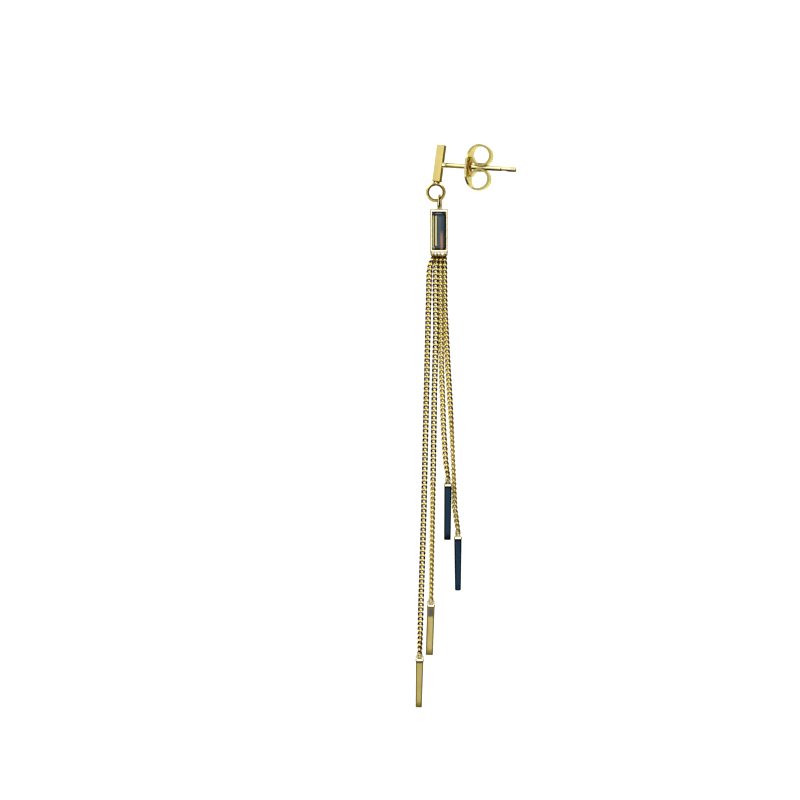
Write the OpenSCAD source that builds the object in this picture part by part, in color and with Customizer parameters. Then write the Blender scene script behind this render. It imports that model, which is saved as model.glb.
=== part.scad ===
// Long chain earring: a bar stud with a butterfly nut, and a hanging drop of a boxed stone
// with four fine chains that each end in a slim bar.
// The origin is on the centre line of the post, halfway along the stretch that sits in the ear.
// +X points along the post as seen from the front, +Z is up, and the drop hangs down.

/* [Stud] */
// Length of the front bar
bar_length = 5.14; // [4:0.02:7]
// Side of the bar's square section
bar_side = 1.1; // [0.9:0.05:1.4]
// Lean of the front bar from upright, its top towards the nut
bar_lean = 7.9; // [0:0.1:10]
// Diameter of the post
post_d = 0.7; // [0.6:0.02:0.8]
// Length of the post beyond the origin, out to its tip
post_reach = 8.88; // [7.5:0.02:10]
// Dip of the post below level
post_dip = 4.84; // [0:0.02:8]
// Turn of the post out of the plane of the drop
post_turn = 18; // [0:1:30]
// Outer diameter of the soldered hanging ring
ring_d = 2.8; // [2.4:0.05:3.2]
// Wire of the hanging ring
ring_wire = 0.48; // [0.4:0.02:0.54]

/* [Nut] */
// Outer radius of each curl
curl_r = 1.48; // [1.3:0.02:1.5]
// Thickness of the nut's strip
strip_t = 0.32; // [0.2:0.02:0.36]
// Width of the strip at the curls
curl_w = 1.3; // [0.8:0.05:1.8]
// Width of the plate at its middle
plate_w = 2.9; // [2.4:0.05:3.4]
// Clearance of the bore round the post
bore_gap = 0.05; // [0.02:0.01:0.08]

/* [Boxed stone] */
// Width of the box
box_w = 2.5; // [2.3:0.05:2.8]
// Depth of the box from front to back
box_depth = 1.7; // [1.5:0.05:2]
// Height of the box
box_h = 5.97; // [5:0.01:6.5]
// Thickness of the box's side walls
box_wall = 0.28; // [0.2:0.01:0.34]
// Depth of the pocket that holds the stone
pocket_depth = 1.2; // [1:0.05:1.3]
// Gap between the stone and its walls
stone_gap = 0.04; // [0.02:0.01:0.06]
// Wire of the oval bail
bail_wire = 0.28; // [0.2:0.02:0.3]
// Width of the oval bail
bail_w = 1.7; // [1.5:0.05:1.8]
// Wire of the rail under the box
rail_wire = 0.24; // [0.2:0.02:0.28]

/* [Chains] */
// Distance from one link to the next
link_pitch = 0.653; // [0.64:0.001:0.7]
// Wire of a link
link_wire = 0.12; // [0.1:0.01:0.12]
// Width of a link
link_w = 0.76; // [0.74:0.01:0.8]
// Turn of a link to either side of the chain's flat
link_turn = 33; // [32:1:36]

/* [Bars] */
// Side of a hanging bar at its top
drop_bar_side = 1.05; // [0.9:0.01:1.1]
// Side of the gold cap on a bar
cap_side = 1.16; // [1.1:0.01:1.25]
// Outer diameter of the eye on a cap
eye_d = 0.82; // [0.8:0.01:0.84]
// Wire of the eye
eye_wire = 0.22; // [0.2:0.01:0.24]

/* [Hidden] */
$fn = 24;

GOLD = "gold";
CHAMPAGNE = "palegoldenrod";
NAVY = "midnightblue";
SMOKE = "slategray";

// The plane in which the drop hangs, behind the post's centre line
drop_y = 0.66;

// How far soldered pieces run into each other
fuse = 0.05;

// Middle of the front bar
bar_mid = [-2.10, drop_y, 0.39];
// Places along the post, from the origin: root inside the bar, solder cone, and the notch near the tip
post_root = -1.95;
solder_root = -1.75;
solder_end = -1.1;
solder_r = 0.52;
notch_start = 6.75;
notch_end = 7.6;
notch_depth = 0.08;
tip_bevel = 0.12;

// Hanging ring
ring_mid = [-2.583, drop_y, -3.625];
ring_mid_r = (ring_d - ring_wire) / 2;
ring_solder_r = 0.36;
ring_solder_top = [-2.47, 0.74, -1.95];
ring_solder_h = 0.42;

// Nut, measured along the post and up from it
plate_front = 1.85;
curl_mid = [4.05, 1.62];
// The plate's arc meets each curl without a kink: its centre is as far from the plate's front
// as it is from the curl's far side.
plate_mid = ((pow(curl_mid[0], 2) + pow(curl_mid[1], 2) - pow(plate_front + curl_r, 2))
    / (2 * (curl_mid[0] - plate_front - curl_r)));
plate_r = plate_mid - plate_front;
join_angle = atan2(curl_mid[1], curl_mid[0] - plate_mid);
curl_end_angle = -112;
funnel_r = 1.1;
funnel_tip_r = 0.62;
funnel_root = 1.9;
funnel_h = 0.62;
bore_r = post_d / 2 + bore_gap;

// Plan of the plate: two equal arcs that give the wide middle and the narrow ends
plate_top = plate_r * sin(180 - join_angle);
plate_slim = (plate_w - curl_w) / 2;
plan_r = (pow(plate_top, 2) + pow(plate_slim, 2)) / (2 * plate_slim);
plan_shift = plan_r - plate_w / 2;

// Boxed stone
case_x = -2.139;
case_top = -6.0;
rim_top = 0.375;
rim_bottom = 0.33;
stone_crown = 0.35;
stone_corner = 0.3;
stone_bevel = 0.42;
stone_sink = 0.2;
stone_table = 0.01;
bail_x = -2.05;
bail_turn = 15;
bail_top = -3.859;
bail_sink = 0.08;
mound_r = 0.55;
mound_h = 0.32;
rail_drop = 0.5;
rail_half = 1.095;
rail_bend = 0.28;

// A chain link is an oval: two half rings and two straight sides
link_mid_r = (link_w - link_wire) / 2;
link_play = 0.14;
link_length = link_pitch + 2 * link_wire + link_play;
link_side = link_length - link_w;

// Gap between the first link and the rail, and between the last link and the eye
hang_gap = 0.1;
eye_gap = 0.12;
eye_mid_r = (eye_d - eye_wire) / 2;

// Cap: plate, roof and eye above the top of its bar
cap_gap = 0.02;
cap_plate = 0.33;
cap_roof = 0.25;
roof_side = 0.6;
eye_sink = 0.02;
eye_rise = cap_gap + cap_plate + cap_roof + eye_mid_r - eye_sink;
bar_bevel = 0.1;

// One row for each hanging bar, from left to right: sideways place and height of the eye's middle,
// place from front to back, lean, length, side at the bottom
EYE_X = 0;
EYE_Z = 1;
EYE_Y = 2;
LEAN = 3;
LENGTH = 4;
FOOT = 5;
BAR_ROWS = [
    [-4.824, -67.83, -0.60, 1.13, 6.35, 0.88],
    [-3.242, -60.31, -0.20, 1.91, 6.65, 1.01],
    [-0.907, -43.60, -0.30, 0.65, 7.40, 0.96],
    [0.493, -50.96, 0.60, 0, 7.12, 0.84],
];

// Route of each chain from the rail down to its eye. One row for each place that was measured:
// drop below the origin, sideways place, depth behind the drop's plane, turn of the chain's flat
rail_z = case_top - box_h - rail_drop;
first_drop = -(rail_z + rail_wire / 2 + hang_gap + link_wire) + link_length / 2;
function last_drop(n) = -BAR_ROWS[n][EYE_Z] - (eye_mid_r - eye_wire / 2 - eye_gap - link_wire)
    - link_length / 2;
ROUTES = [
    [
        [first_drop, -2.92, 0, -58],
        [13.4, -2.95, -0.06, -58],
        [16.2, -3.38, -0.42, -52],
        [18.0, -3.56, -0.60, -25],
        [20.5, -3.64, -0.60, 0],
        [31.4, -3.89, -0.60, 0],
        [48.0, -4.26, -0.60, 0],
        [62.0, -4.69, -0.60, 0],
        [last_drop(0), BAR_ROWS[0][EYE_X], BAR_ROWS[0][EYE_Y], -50],
    ],
    [
        [first_drop, -2.43, 0, -58],
        [13.4, -2.44, -0.02, -58],
        [16.2, -2.64, -0.14, -52],
        [18.0, -2.66, -0.20, -25],
        [23.0, -2.58, -0.20, 0],
        [31.4, -2.79, -0.20, 0],
        [48.0, -3.03, -0.20, 0],
        [53.5, -3.17, -0.20, -20],
        [last_drop(1), BAR_ROWS[1][EYE_X], BAR_ROWS[1][EYE_Y], -50],
    ],
    [
        [first_drop, -1.94, 0, -58],
        [13.4, -1.94, 0.02, -58],
        [16.2, -1.96, 0.14, -52],
        [20.0, -1.92, 0.20, -32],
        [28.3, -1.79, 0.20, -32],
        [36.6, -1.50, 0.05, -32],
        [40.8, -1.24, -0.20, -40],
        [last_drop(2), BAR_ROWS[2][EYE_X], BAR_ROWS[2][EYE_Y], -50],
    ],
    [
        [first_drop, -1.36, 0, -58],
        [13.4, -1.35, 0.06, -58],
        [16.2, -1.37, 0.42, -52],
        [19.7, -1.31, 0.60, -32],
        [28.0, -0.88, 0.60, -20],
        [36.4, -0.38, 0.60, -32],
        [40.5, -0.20, 0.60, -50],
        [47.5, 0.06, 0.60, -50],
        [last_drop(3), BAR_ROWS[3][EYE_X], BAR_ROWS[3][EYE_Y], -50],
    ],
];

// The third chain is a plain sleeve between the links at its two ends
top_links = 4;
end_links = 2;
sleeve_d = 0.5;
sleeve_sides = 8;
sleeve_step = 1.7;
sleeve_gap = 0.1;

function along(n, drop, column) = lookup(drop, [for (row = ROUTES[n]) [row[0], row[column]]]);
function spot(n, drop) = [along(n, drop, 1), drop_y + along(n, drop, 2), -drop];
function rise(n, drop) = spot(n, drop - link_pitch / 2) - spot(n, drop + link_pitch / 2);
function span(n) = last_drop(n) - first_drop;
// An even number of steps, so that the first and the last link lie the same way
function steps(n) = 2 * round(span(n) / link_pitch / 2);
function link_drop(n, k) = first_drop + k * span(n) / steps(n);

// Lays children that are built along +X down the post's centre line
module on_post() {
    rotate([0, post_dip, -post_turn]) children();
}

// A strip of the nut: a flat band bent round a centre, from one angle to another
module bent_strip(mid, r, from, to, width) {
    rotate([90, 0, 0]) translate([mid[0], mid[1], 0]) rotate([0, 0, from])
        rotate_extrude(angle = to - from) translate([r - strip_t, -width / 2])
            square([strip_t, width]);
}

// A wire ring that stands upright in the plane of X and Z
module upright_ring(mid_r, wire) {
    rotate([90, 0, 0]) rotate_extrude() translate([mid_r, 0]) circle(d = wire);
}

// A block whose four sides slope from one square to another, in straight walls
module sloped_block(foot, head, h) {
    intersection() {
        wedge(foot, head, h);
        rotate([0, 0, 90]) wedge(foot, head, h);
    }
}

module wedge(foot, head, h) {
    rotate([90, 0, 0]) linear_extrude(height = 2 * max(foot, head), center = true)
        polygon([[-foot / 2, 0], [foot / 2, 0], [head / 2, h], [-head / 2, h]]);
}

// Front bar, post with its solder and notch, and the hanging ring, soldered into one
module ear_stud() {
    color(GOLD) {
        translate(bar_mid) rotate([0, bar_lean, -post_turn])
            cube([bar_side, bar_side, bar_length], center = true);
        on_post() rotate([0, 90, 0]) post();
        translate(ring_mid) upright_ring(ring_mid_r, ring_wire);
        translate(ring_solder_top - [0, 0, ring_solder_h]) rotate([0, bar_lean, 0])
            cylinder(h = ring_solder_h, r = ring_solder_r);
    }
}

// The post along +Z, with a shallow notch that the nut snaps over
module post() {
    translate([0, 0, post_root]) cylinder(h = notch_start - post_root, d = post_d);
    notch_half = (notch_end - notch_start) / 2;
    translate([0, 0, notch_start])
        cylinder(h = notch_half, d1 = post_d, d2 = post_d - 2 * notch_depth);
    translate([0, 0, notch_start + notch_half])
        cylinder(h = notch_half, d1 = post_d - 2 * notch_depth, d2 = post_d);
    translate([0, 0, notch_end]) cylinder(h = post_reach - tip_bevel - notch_end, d = post_d);
    translate([0, 0, post_reach - tip_bevel])
        cylinder(h = tip_bevel, d1 = post_d, d2 = post_d - 2 * tip_bevel);
    translate([0, 0, solder_root])
        cylinder(h = solder_end - solder_root, r1 = solder_r, r2 = post_d / 2);
}

// Butterfly nut: a bowed plate with a funnel for the post, and two curls that grip it
module ear_nut() {
    color(GOLD) on_post() difference() {
        union() {
            intersection() {
                bent_strip([plate_mid, 0], plate_r, join_angle, 360 - join_angle, 2 * plate_w);
                plate_plan();
            }
            curl();
            mirror([0, 0, 1]) curl();
            translate([funnel_root, 0, 0]) rotate([0, 90, 0])
                cylinder(h = funnel_h, r1 = funnel_r, r2 = funnel_tip_r);
        }
        rotate([0, 90, 0]) cylinder(h = post_reach, r = bore_r);
    }
}

module curl() {
    bent_strip(curl_mid, curl_r, curl_end_angle, join_angle, curl_w);
}

module plate_plan() {
    intersection() {
        translate([0, plan_shift, 0]) plan_disc();
        translate([0, -plan_shift, 0]) plan_disc();
    }
}

module plan_disc() {
    rotate([0, 90, 0]) cylinder(h = plate_mid, r = plan_r);
}

// Oval bail, box with its pocket, and the rail for the chains, soldered into one
module pendant_case() {
    color(GOLD) {
        difference() {
            translate([case_x - box_w / 2, drop_y - box_depth / 2, case_top - box_h])
                cube([box_w, box_depth, box_h]);
            translate([case_x - box_w / 2 + box_wall, drop_y - box_depth, case_top - box_h + rim_bottom])
                cube([
                    box_w - 2 * box_wall,
                    box_depth / 2 + pocket_depth,
                    box_h - rim_top - rim_bottom,
                ]);
        }
        bail();
        translate([bail_x, drop_y, case_top - fuse])
            cylinder(h = mound_h, r1 = mound_r, r2 = bail_wire / 2);
        rail();
    }
}

module bail() {
    mid_r = (bail_w - bail_wire) / 2;
    bend_z = case_top - bail_sink + bail_w / 2;
    translate([bail_x, drop_y, bend_z]) rotate([0, 0, 90 - bail_turn])
        oval(mid_r, bail_top - bail_w / 2 - bend_z, bail_wire);
}

// A wire oval that stands upright in the plane of X and Z, from its lower bend's middle upwards
module oval(mid_r, side, wire) {
    translate([0, 0, side]) half_ring(mid_r, wire);
    mirror([0, 0, 1]) half_ring(mid_r, wire);
    for (x = [-mid_r, mid_r])
        translate([x, 0, 0]) cylinder(h = side, d = wire);
}

module half_ring(mid_r, wire) {
    rotate([90, 0, 0]) rotate_extrude(angle = 180) translate([mid_r, 0]) circle(d = wire);
}

// Square-bent wire under the box, open at the sides, that the chains ride on
module rail() {
    leg = rail_drop - rail_bend + fuse;
    for (side = [-1, 1])
        translate([case_x, drop_y, rail_z]) mirror([side < 0 ? 1 : 0, 0, 0]) {
            translate([rail_half, 0, rail_bend]) cylinder(h = leg, d = rail_wire);
            translate([rail_half - rail_bend, 0, rail_bend]) rotate([90, 0, 0]) rotate([0, 0, -90])
                rotate_extrude(angle = 90) translate([rail_bend, 0]) circle(d = rail_wire);
        }
    translate([case_x - rail_half + rail_bend, drop_y, rail_z]) rotate([0, 90, 0])
        cylinder(h = 2 * (rail_half - rail_bend), d = rail_wire);
}

// Long step-cut stone with a table, eight crown facets and cut corners
module pendant_stone() {
    w = box_w - 2 * (box_wall + stone_gap);
    h = box_h - rim_top - rim_bottom - 2 * stone_gap;
    back = drop_y - box_depth / 2 + pocket_depth - stone_gap;
    front = drop_y - box_depth / 2 + stone_sink;
    mid_z = case_top - rim_top - stone_gap - h / 2;
    color(SMOKE) translate([case_x, 0, mid_z]) rotate([90, 0, 0]) hull() {
        translate([0, 0, -back]) linear_extrude(height = back - front - stone_crown)
            cut_corner(w, h, stone_corner);
        translate([0, 0, -front - stone_table]) linear_extrude(height = stone_table)
            cut_corner(w - 2 * stone_bevel, h - 2 * stone_bevel, stone_corner);
    }
}

// Outline of a rectangle with its corners cut off
module cut_corner(w, h, c) {
    polygon([
        [w / 2 - c, h / 2], [-w / 2 + c, h / 2], [-w / 2, h / 2 - c], [-w / 2, -h / 2 + c],
        [-w / 2 + c, -h / 2], [w / 2 - c, -h / 2], [w / 2, -h / 2 + c], [w / 2, h / 2 - c],
    ]);
}

// One link of a chain, hung at its place on the route and turned to one side of the chain's flat
module link(n, k) {
    drop = link_drop(n, k);
    up = rise(n, drop);
    side = k % 2 == 0 ? -1 : 1;
    translate(spot(n, drop)) rotate([-atan2(up[1], up[2]), atan2(up[0], up[2]), 0])
        rotate([0, 0, along(n, drop, 3) + side * link_turn])
            translate([0, 0, -link_side / 2]) oval(link_mid_r, link_side, link_wire);
}

module chain(n) {
    color(GOLD) for (k = [0 : steps(n)])
        link(n, k);
}

module chain_ends(n) {
    color(GOLD) for (k = [0 : steps(n)])
        if (k < top_links || k > steps(n) - end_links)
            link(n, k);
}

// Ring of points round the route at one place, for the sleeve
function sleeve_ring(n, drop) = [
    for (i = [0 : sleeve_sides - 1])
        spot(n, drop) + sleeve_d / 2 * [cos(360 * i / sleeve_sides), sin(360 * i / sleeve_sides), 0]
];

module sleeve(n) {
    start = link_drop(n, top_links - 1) + link_length / 2 + sleeve_gap;
    end = link_drop(n, steps(n) - end_links + 1) - link_length / 2 - sleeve_gap;
    rings = ceil((end - start) / sleeve_step);
    points = [
        for (j = [0 : rings])
            each sleeve_ring(n, start + (end - start) * j / rings)
    ];
    top = [for (i = [0 : sleeve_sides - 1]) i];
    bottom = [for (i = [sleeve_sides - 1 : -1 : 0]) rings * sleeve_sides + i];
    sides = [
        for (j = [0 : rings - 1], i = [0 : sleeve_sides - 1])
            let (a = j * sleeve_sides, b = a + sleeve_sides, next = (i + 1) % sleeve_sides)
                each [[a + i, b + i, b + next], [a + i, b + next, a + next]]
    ];
    color(GOLD) polyhedron(points, concat([top], [bottom], sides));
}

// Places children at the top of a hanging bar, under its eye and leaning with it
module at_bar(n) {
    row = BAR_ROWS[n];
    translate([row[EYE_X], drop_y + row[EYE_Y], row[EYE_Z]]) rotate([0, row[LEAN], 0])
        translate([0, 0, -eye_rise]) children();
}

module bar_cap(n) {
    color(GOLD) at_bar(n) {
        translate([-cap_side / 2, -cap_side / 2, cap_gap]) cube([cap_side, cap_side, cap_plate]);
        translate([0, 0, cap_gap + cap_plate]) sloped_block(cap_side, roof_side, cap_roof);
        translate([0, 0, eye_rise]) upright_ring(eye_mid_r, eye_wire);
    }
}

// A slim square bar with bevelled edges, slightly slimmer at its foot
module hanging_bar(n) {
    row = BAR_ROWS[n];
    color(n < 2 ? CHAMPAGNE : NAVY) at_bar(n) mirror([0, 0, 1])
        linear_extrude(height = row[LENGTH], scale = row[FOOT] / drop_bar_side)
            cut_corner(drop_bar_side, drop_bar_side, bar_bevel);
}

ear_stud();
ear_nut();
pendant_case();
pendant_stone();
chain(0);  // chain_1
chain(1);  // chain_2
sleeve(2);  // chain_3
chain_ends(2);  // chain_3_ends
chain(3);  // chain_4
bar_cap(0);  // bar_cap_1
bar_cap(1);  // bar_cap_2
bar_cap(2);  // bar_cap_3
bar_cap(3);  // bar_cap_4
hanging_bar(0);  // bar_1
hanging_bar(1);  // bar_2
hanging_bar(2);  // bar_3
hanging_bar(3);  // bar_4
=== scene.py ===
"""Looks of a long chain earring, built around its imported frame.

The front bar with its post and ring, the butterfly nut, the boxed stone on its bail, four curb
chains and four capped bars are each worked out as numpy surfaces in millimetres, in the frame's
own axes, and put into meshes in metres.
"""

import logging
import math
from dataclasses import dataclass, field
from enum import Enum

import bmesh
import bpy
import numpy as np
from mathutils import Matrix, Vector


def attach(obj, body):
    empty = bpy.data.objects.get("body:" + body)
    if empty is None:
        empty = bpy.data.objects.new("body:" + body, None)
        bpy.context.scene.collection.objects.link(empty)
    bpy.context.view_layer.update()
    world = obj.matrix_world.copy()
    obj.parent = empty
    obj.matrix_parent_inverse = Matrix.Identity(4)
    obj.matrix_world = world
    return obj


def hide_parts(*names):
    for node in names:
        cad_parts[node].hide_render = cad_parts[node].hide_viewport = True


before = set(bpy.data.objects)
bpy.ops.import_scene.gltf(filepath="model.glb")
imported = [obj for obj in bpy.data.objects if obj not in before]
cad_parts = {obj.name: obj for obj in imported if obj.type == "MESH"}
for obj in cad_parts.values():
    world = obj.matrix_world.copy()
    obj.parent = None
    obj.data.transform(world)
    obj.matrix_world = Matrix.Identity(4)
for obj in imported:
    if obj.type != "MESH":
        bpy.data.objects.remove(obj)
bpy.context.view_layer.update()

log = logging.getLogger("chain_earring")

MM = 0.001
SHARP_ANGLE = math.radians(38)

Array = np.ndarray
Colour = tuple[float, float, float]
Place = tuple[float, float, float]
Rows = list[tuple[float, ...]]
Socket = bpy.types.NodeSocket

# Named columns of a place: sideways, from front to back, and up
X, Y, Z = 0, 1, 2


def srgb(red: int, green: int, blue: int) -> Colour:
    """Turns a colour of 0 to 255 a channel into the linear colour that shaders use.

    A dark channel is divided by 12.92, and a lighter one follows a power of 2.4.

    Args:
        red: Red channel.
        green: Green channel.
        blue: Blue channel.

    Returns:
        The linear colour.
    """
    channels = np.array([red, green, blue]) / 255
    linear = np.where(channels <= 0.04045, channels / 12.92, ((channels + 0.055) / 1.055) ** 2.4)
    return tuple(float(value) for value in linear)


def turn(axis: int, degrees: float) -> Array:
    """Matrix that turns points about one axis by the right-hand rule.

    Args:
        axis: X, Y or Z.
        degrees: Angle.

    Returns:
        A 3 by 3 matrix, to be used as points @ matrix.T.
    """
    cosine, sine = math.cos(math.radians(degrees)), math.sin(math.radians(degrees))
    first, second = [(Y, Z), (Z, X), (X, Y)][axis]
    matrix = np.eye(3)
    matrix[first, first] = matrix[second, second] = cosine
    matrix[second, first], matrix[first, second] = sine, -sine
    return matrix


def smooth_step(t: Array) -> Array:
    """Rises from 0 to 1 with level ends: 3t² - 2t³, held at both ends."""
    t = np.clip(t, 0, 1)
    return t * t * (3 - 2 * t)


def fade(value: Array, start: float, width: float) -> Array:
    """Smooth step from 0 at a start to 1 a width further on, or further back for a width below 0."""
    return smooth_step((value - start) / width)


def peak(value: Array, middle: float, width: float) -> Array:
    """Bell of height 1: e to the minus square of the distance from the middle over the width."""
    return np.exp(-(((value - middle) / width) ** 2))


def full_circle(count: int) -> Array:
    """Evenly spread angles of a full circle, in radians, without its end."""
    return np.linspace(0, 2 * np.pi, count, endpoint=False)


def upright(x: Array, z: Array) -> Array:
    """Points in the plane of X and Z."""
    return np.stack([x, np.zeros(len(x)), z], axis=1)


def units(vectors: Array) -> Array:
    """Divides each row by its length."""
    return vectors / np.linalg.norm(vectors, axis=1, keepdims=True)


def square_to(vectors: Array, way: Array) -> Array:
    """Takes the share along a way out of each row, and makes the rest 1 long."""
    return units(vectors - (vectors * way).sum(axis=1, keepdims=True) * way)


def read_table(table: Array, at: Array) -> Array:
    """Reads a table at some values of its first column, straight between its rows.

    Args:
        table: Rows in which the first column rises.
        at: Values of that column.

    Returns:
        A row of the table's other columns for each value.
    """
    return np.stack([np.interp(at, table[:, 0], column) for column in table[:, 1:].T], axis=1)


@dataclass
class Surface:
    """Points, faces and named marks of one closed or open surface, in millimetres.

    Attributes:
        points: One row for each point.
        faces: Each face as a tuple of point numbers, counterclockwise seen from outside.
        marks: Named values for each point. Materials read shade (painted shade and dark reflections),
            band and the painted gold reflection, from 0 to 1.
    """

    points: Array
    faces: list[tuple[int, ...]]
    marks: dict[str, Array] = field(default_factory=dict)

    def placed(self, matrix: Array, place: Place | Array) -> "Surface":
        """Turns the surface by a matrix and then moves it by a place."""
        return Surface(self.points @ matrix.T + np.asarray(place), self.faces, self.marks)

    def moved(self, place: Place | Array) -> "Surface":
        """Moves the surface by a place, or each of its points by its own."""
        return Surface(self.points + np.asarray(place), self.faces, self.marks)

    def mirrored(self) -> "Surface":
        """Swaps left and right, and turns the faces to stay outwards."""
        faces = [face[::-1] for face in self.faces]
        return Surface(self.points * np.array([-1, 1, 1]), faces, self.marks)

    def marked(self, name: str, values: Array) -> "Surface":
        """Adds one named mark, or one value for all the points."""
        spread = np.broadcast_to(np.asarray(values, float), len(self.points)).copy()
        return Surface(self.points, self.faces, {**self.marks, name: spread})


def joined(surfaces: list[Surface]) -> Surface:
    """Puts several surfaces into one, with their marks.

    Args:
        surfaces: The surfaces. A mark that one of them lacks is 0 there.

    Returns:
        One surface with all the points and faces.
    """
    names = {name for surface in surfaces for name in surface.marks}
    starts = np.cumsum([0] + [len(surface.points) for surface in surfaces])
    faces = [
        tuple(int(start) + index for index in face)
        for start, surface in zip(starts, surfaces)
        for face in surface.faces
    ]
    marks = {
        name: np.concatenate(
            [surface.marks.get(name, np.zeros(len(surface.points))) for surface in surfaces]
        )
        for name in names
    }
    return Surface(np.concatenate([surface.points for surface in surfaces]), faces, marks)


def merged(surface: Surface, reach: float = 0.0005) -> Surface:
    """Joins the points that lie in one place.

    Args:
        surface: A surface made of patches that share their edges.
        reach: Size of the cells in which points count as one, in millimetres.

    Returns:
        The surface with each place held once.
    """
    cells = np.round(surface.points / reach).astype(np.int64)
    _, first, index = np.unique(cells, axis=0, return_index=True, return_inverse=True)
    index = index.ravel()
    faces = [tuple(int(index[point]) for point in face) for face in surface.faces]
    marks = {name: values[first] for name, values in surface.marks.items()}
    return Surface(surface.points[first], faces, marks)


def band_faces(rows: int, columns: int, loop: bool) -> list[tuple[int, ...]]:
    """Quads between neighbouring rows of closed sections.

    Args:
        rows: Number of sections.
        columns: Points in each section, which closes on itself.
        loop: Whether the last section joins the first.

    Returns:
        The quads, facing outwards where the sections run counterclockwise seen against the path.
    """
    row = np.arange(rows if loop else rows - 1)[:, None]
    column = np.arange(columns)[None, :]
    ahead, beside = (row + 1) % rows, (column + 1) % columns
    quads = np.stack(
        [
            row * columns + column,
            row * columns + beside,
            ahead * columns + beside,
            ahead * columns + column,
        ],
        axis=-1,
    ).reshape(-1, 4)
    return [tuple(quad) for quad in quads.tolist()]


def loft(sections: Array) -> Surface:
    """A solid through closed sections, with a flat face at both ends.

    Args:
        sections: Array of rows, columns and 3, each row counterclockwise seen against the path.

    Returns:
        The closed surface.
    """
    rows, columns = sections.shape[:2]
    faces = band_faces(rows, columns, loop=False)
    faces.append(tuple(range(columns - 1, -1, -1)))
    faces.append(tuple(range((rows - 1) * columns, rows * columns)))
    return Surface(sections.reshape(-1, 3), faces)


def turned(profile: Array, sides: int) -> Surface:
    """A solid turned round +Z from a profile, by the circle of each radius at its height.

    Args:
        profile: Rows of radius and height, from the bottom up. The ends close flat.
        sides: Points round the axis.

    Returns:
        The closed surface.
    """
    angle = full_circle(sides)
    ring = np.stack([np.cos(angle), np.sin(angle), np.zeros(sides)], axis=1)
    return loft(profile[:, None, 0:1] * ring + profile[:, None, 1:2] * np.array([0, 0, 1.0]))


def wire_rings(line: Array, radius: float | Array, out: Array, across: Array, sides: int) -> Array:
    """Rings of a round wire: its line, plus the radius times cosine of out and sine of across.

    Args:
        line: Points of the centre line.
        radius: Half the wire's thickness, or one value for each point.
        out: Direction at each point from which the ring starts.
        across: Direction at each point to which the ring turns.
        sides: Points round the wire.

    Returns:
        Array of the line's points, sides and 3.
    """
    angle = full_circle(sides)[None, :, None]
    ring = np.cos(angle) * out[:, None] + np.sin(angle) * across[:, None]
    return line[:, None] + np.reshape(radius, (-1, 1, 1)) * ring


def wire_loop(line: Array, radius: float | Array, sides: int) -> Surface:
    """A round wire along a closed line, its rings starting away from the middle of the loop.

    Args:
        line: Points of the closed centre line.
        radius: Half the wire's thickness, or one value for each point.
        sides: Points round the wire.

    Returns:
        The closed surface.
    """
    ahead = units(np.roll(line, -1, axis=0) - np.roll(line, 1, axis=0))
    out = square_to(line - line.mean(axis=0), ahead)
    rings = wire_rings(line, radius, out, np.cross(ahead, out), sides)
    return Surface(rings.reshape(-1, 3), band_faces(len(line), sides, loop=True))


def wire_path(line: Array, radius: float | Array, side: Place, sides: int) -> Surface:
    """A round wire along an open line, closed flat at both ends.

    Args:
        line: Points of the centre line.
        radius: Half the wire's thickness, or one value for each point.
        side: A direction that the line never follows, from which the wire's rings start.
        sides: Points round the wire.

    Returns:
        The closed surface.
    """
    ahead = units(np.gradient(line, axis=0))
    across = units(np.cross(ahead, np.array(side, float)))
    return loft(wire_rings(line, radius, np.cross(across, ahead), across, sides))


def upright_ring(middle: float, wire: float, steps: int, sides: int) -> Surface:
    """A round wire bent into a circle in the plane of X and Z.

    Args:
        middle: Radius of the wire's centre line.
        wire: Thickness of the wire.
        steps: Points round the circle.
        sides: Points round the wire.

    Returns:
        The closed wire, its mark away holding each point's distance from the circle's middle.
    """
    angle = full_circle(steps)
    ring = wire_loop(upright(middle * np.cos(angle), middle * np.sin(angle)), wire / 2, sides)
    return ring.marked("away", np.hypot(ring.points[:, X], ring.points[:, Z]))


def rounded_oblong(
    half: Array, radius: Array, corner_points: int, margins: tuple[float, ...] = ()
) -> Array:
    """Outlines of rectangles with round corners, counterclockwise in the plane of two axes.

    Each corner is a quarter circle whose middle lies one radius in from both sides.

    Args:
        half: Rows of half the width and half the height.
        radius: Corner radius for each row.
        corner_points: Points on each corner.
        margins: Distances from each corner at which both its sides get one more point.

    Returns:
        Array of rows, points and 2.
    """
    angle = np.linspace(0, np.pi / 2, corner_points)
    quarter = np.stack([np.cos(angle), np.sin(angle)], axis=1)
    corners = []
    for number, (across, up) in enumerate([(1, 1), (-1, 1), (-1, -1), (1, -1)]):
        swing = turn(Z, 90 * number)[:2, :2]
        middle = (half - radius[:, None]) * np.array([across, up])
        corner = middle[:, None] + radius[:, None, None] * (quarter @ swing.T)[None]
        before = [corner[:, :1] + swing @ np.array([0, -margin]) for margin in margins[::-1]]
        after = [corner[:, -1:] + swing @ np.array([-margin, 0]) for margin in margins]
        corners += [*before, corner, *after]
    return np.concatenate(corners, axis=1)


def oblong_bar(rows: Array, corner_points: int, margins: tuple[float, ...] = ()) -> Surface:
    """A bar along +Z through rounded rectangles.

    Args:
        rows: Rows of half width, half depth, corner radius and height, from the bottom up.
        corner_points: Points on each corner.
        margins: Distances from each corner at which both its sides get one more point.

    Returns:
        The closed surface.
    """
    outline = rounded_oblong(rows[:, 0:2], rows[:, 2], corner_points, margins)
    height = np.broadcast_to(rows[:, None, 3:4], outline.shape[:2] + (1,))
    return loft(np.concatenate([outline, height], axis=2))


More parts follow.
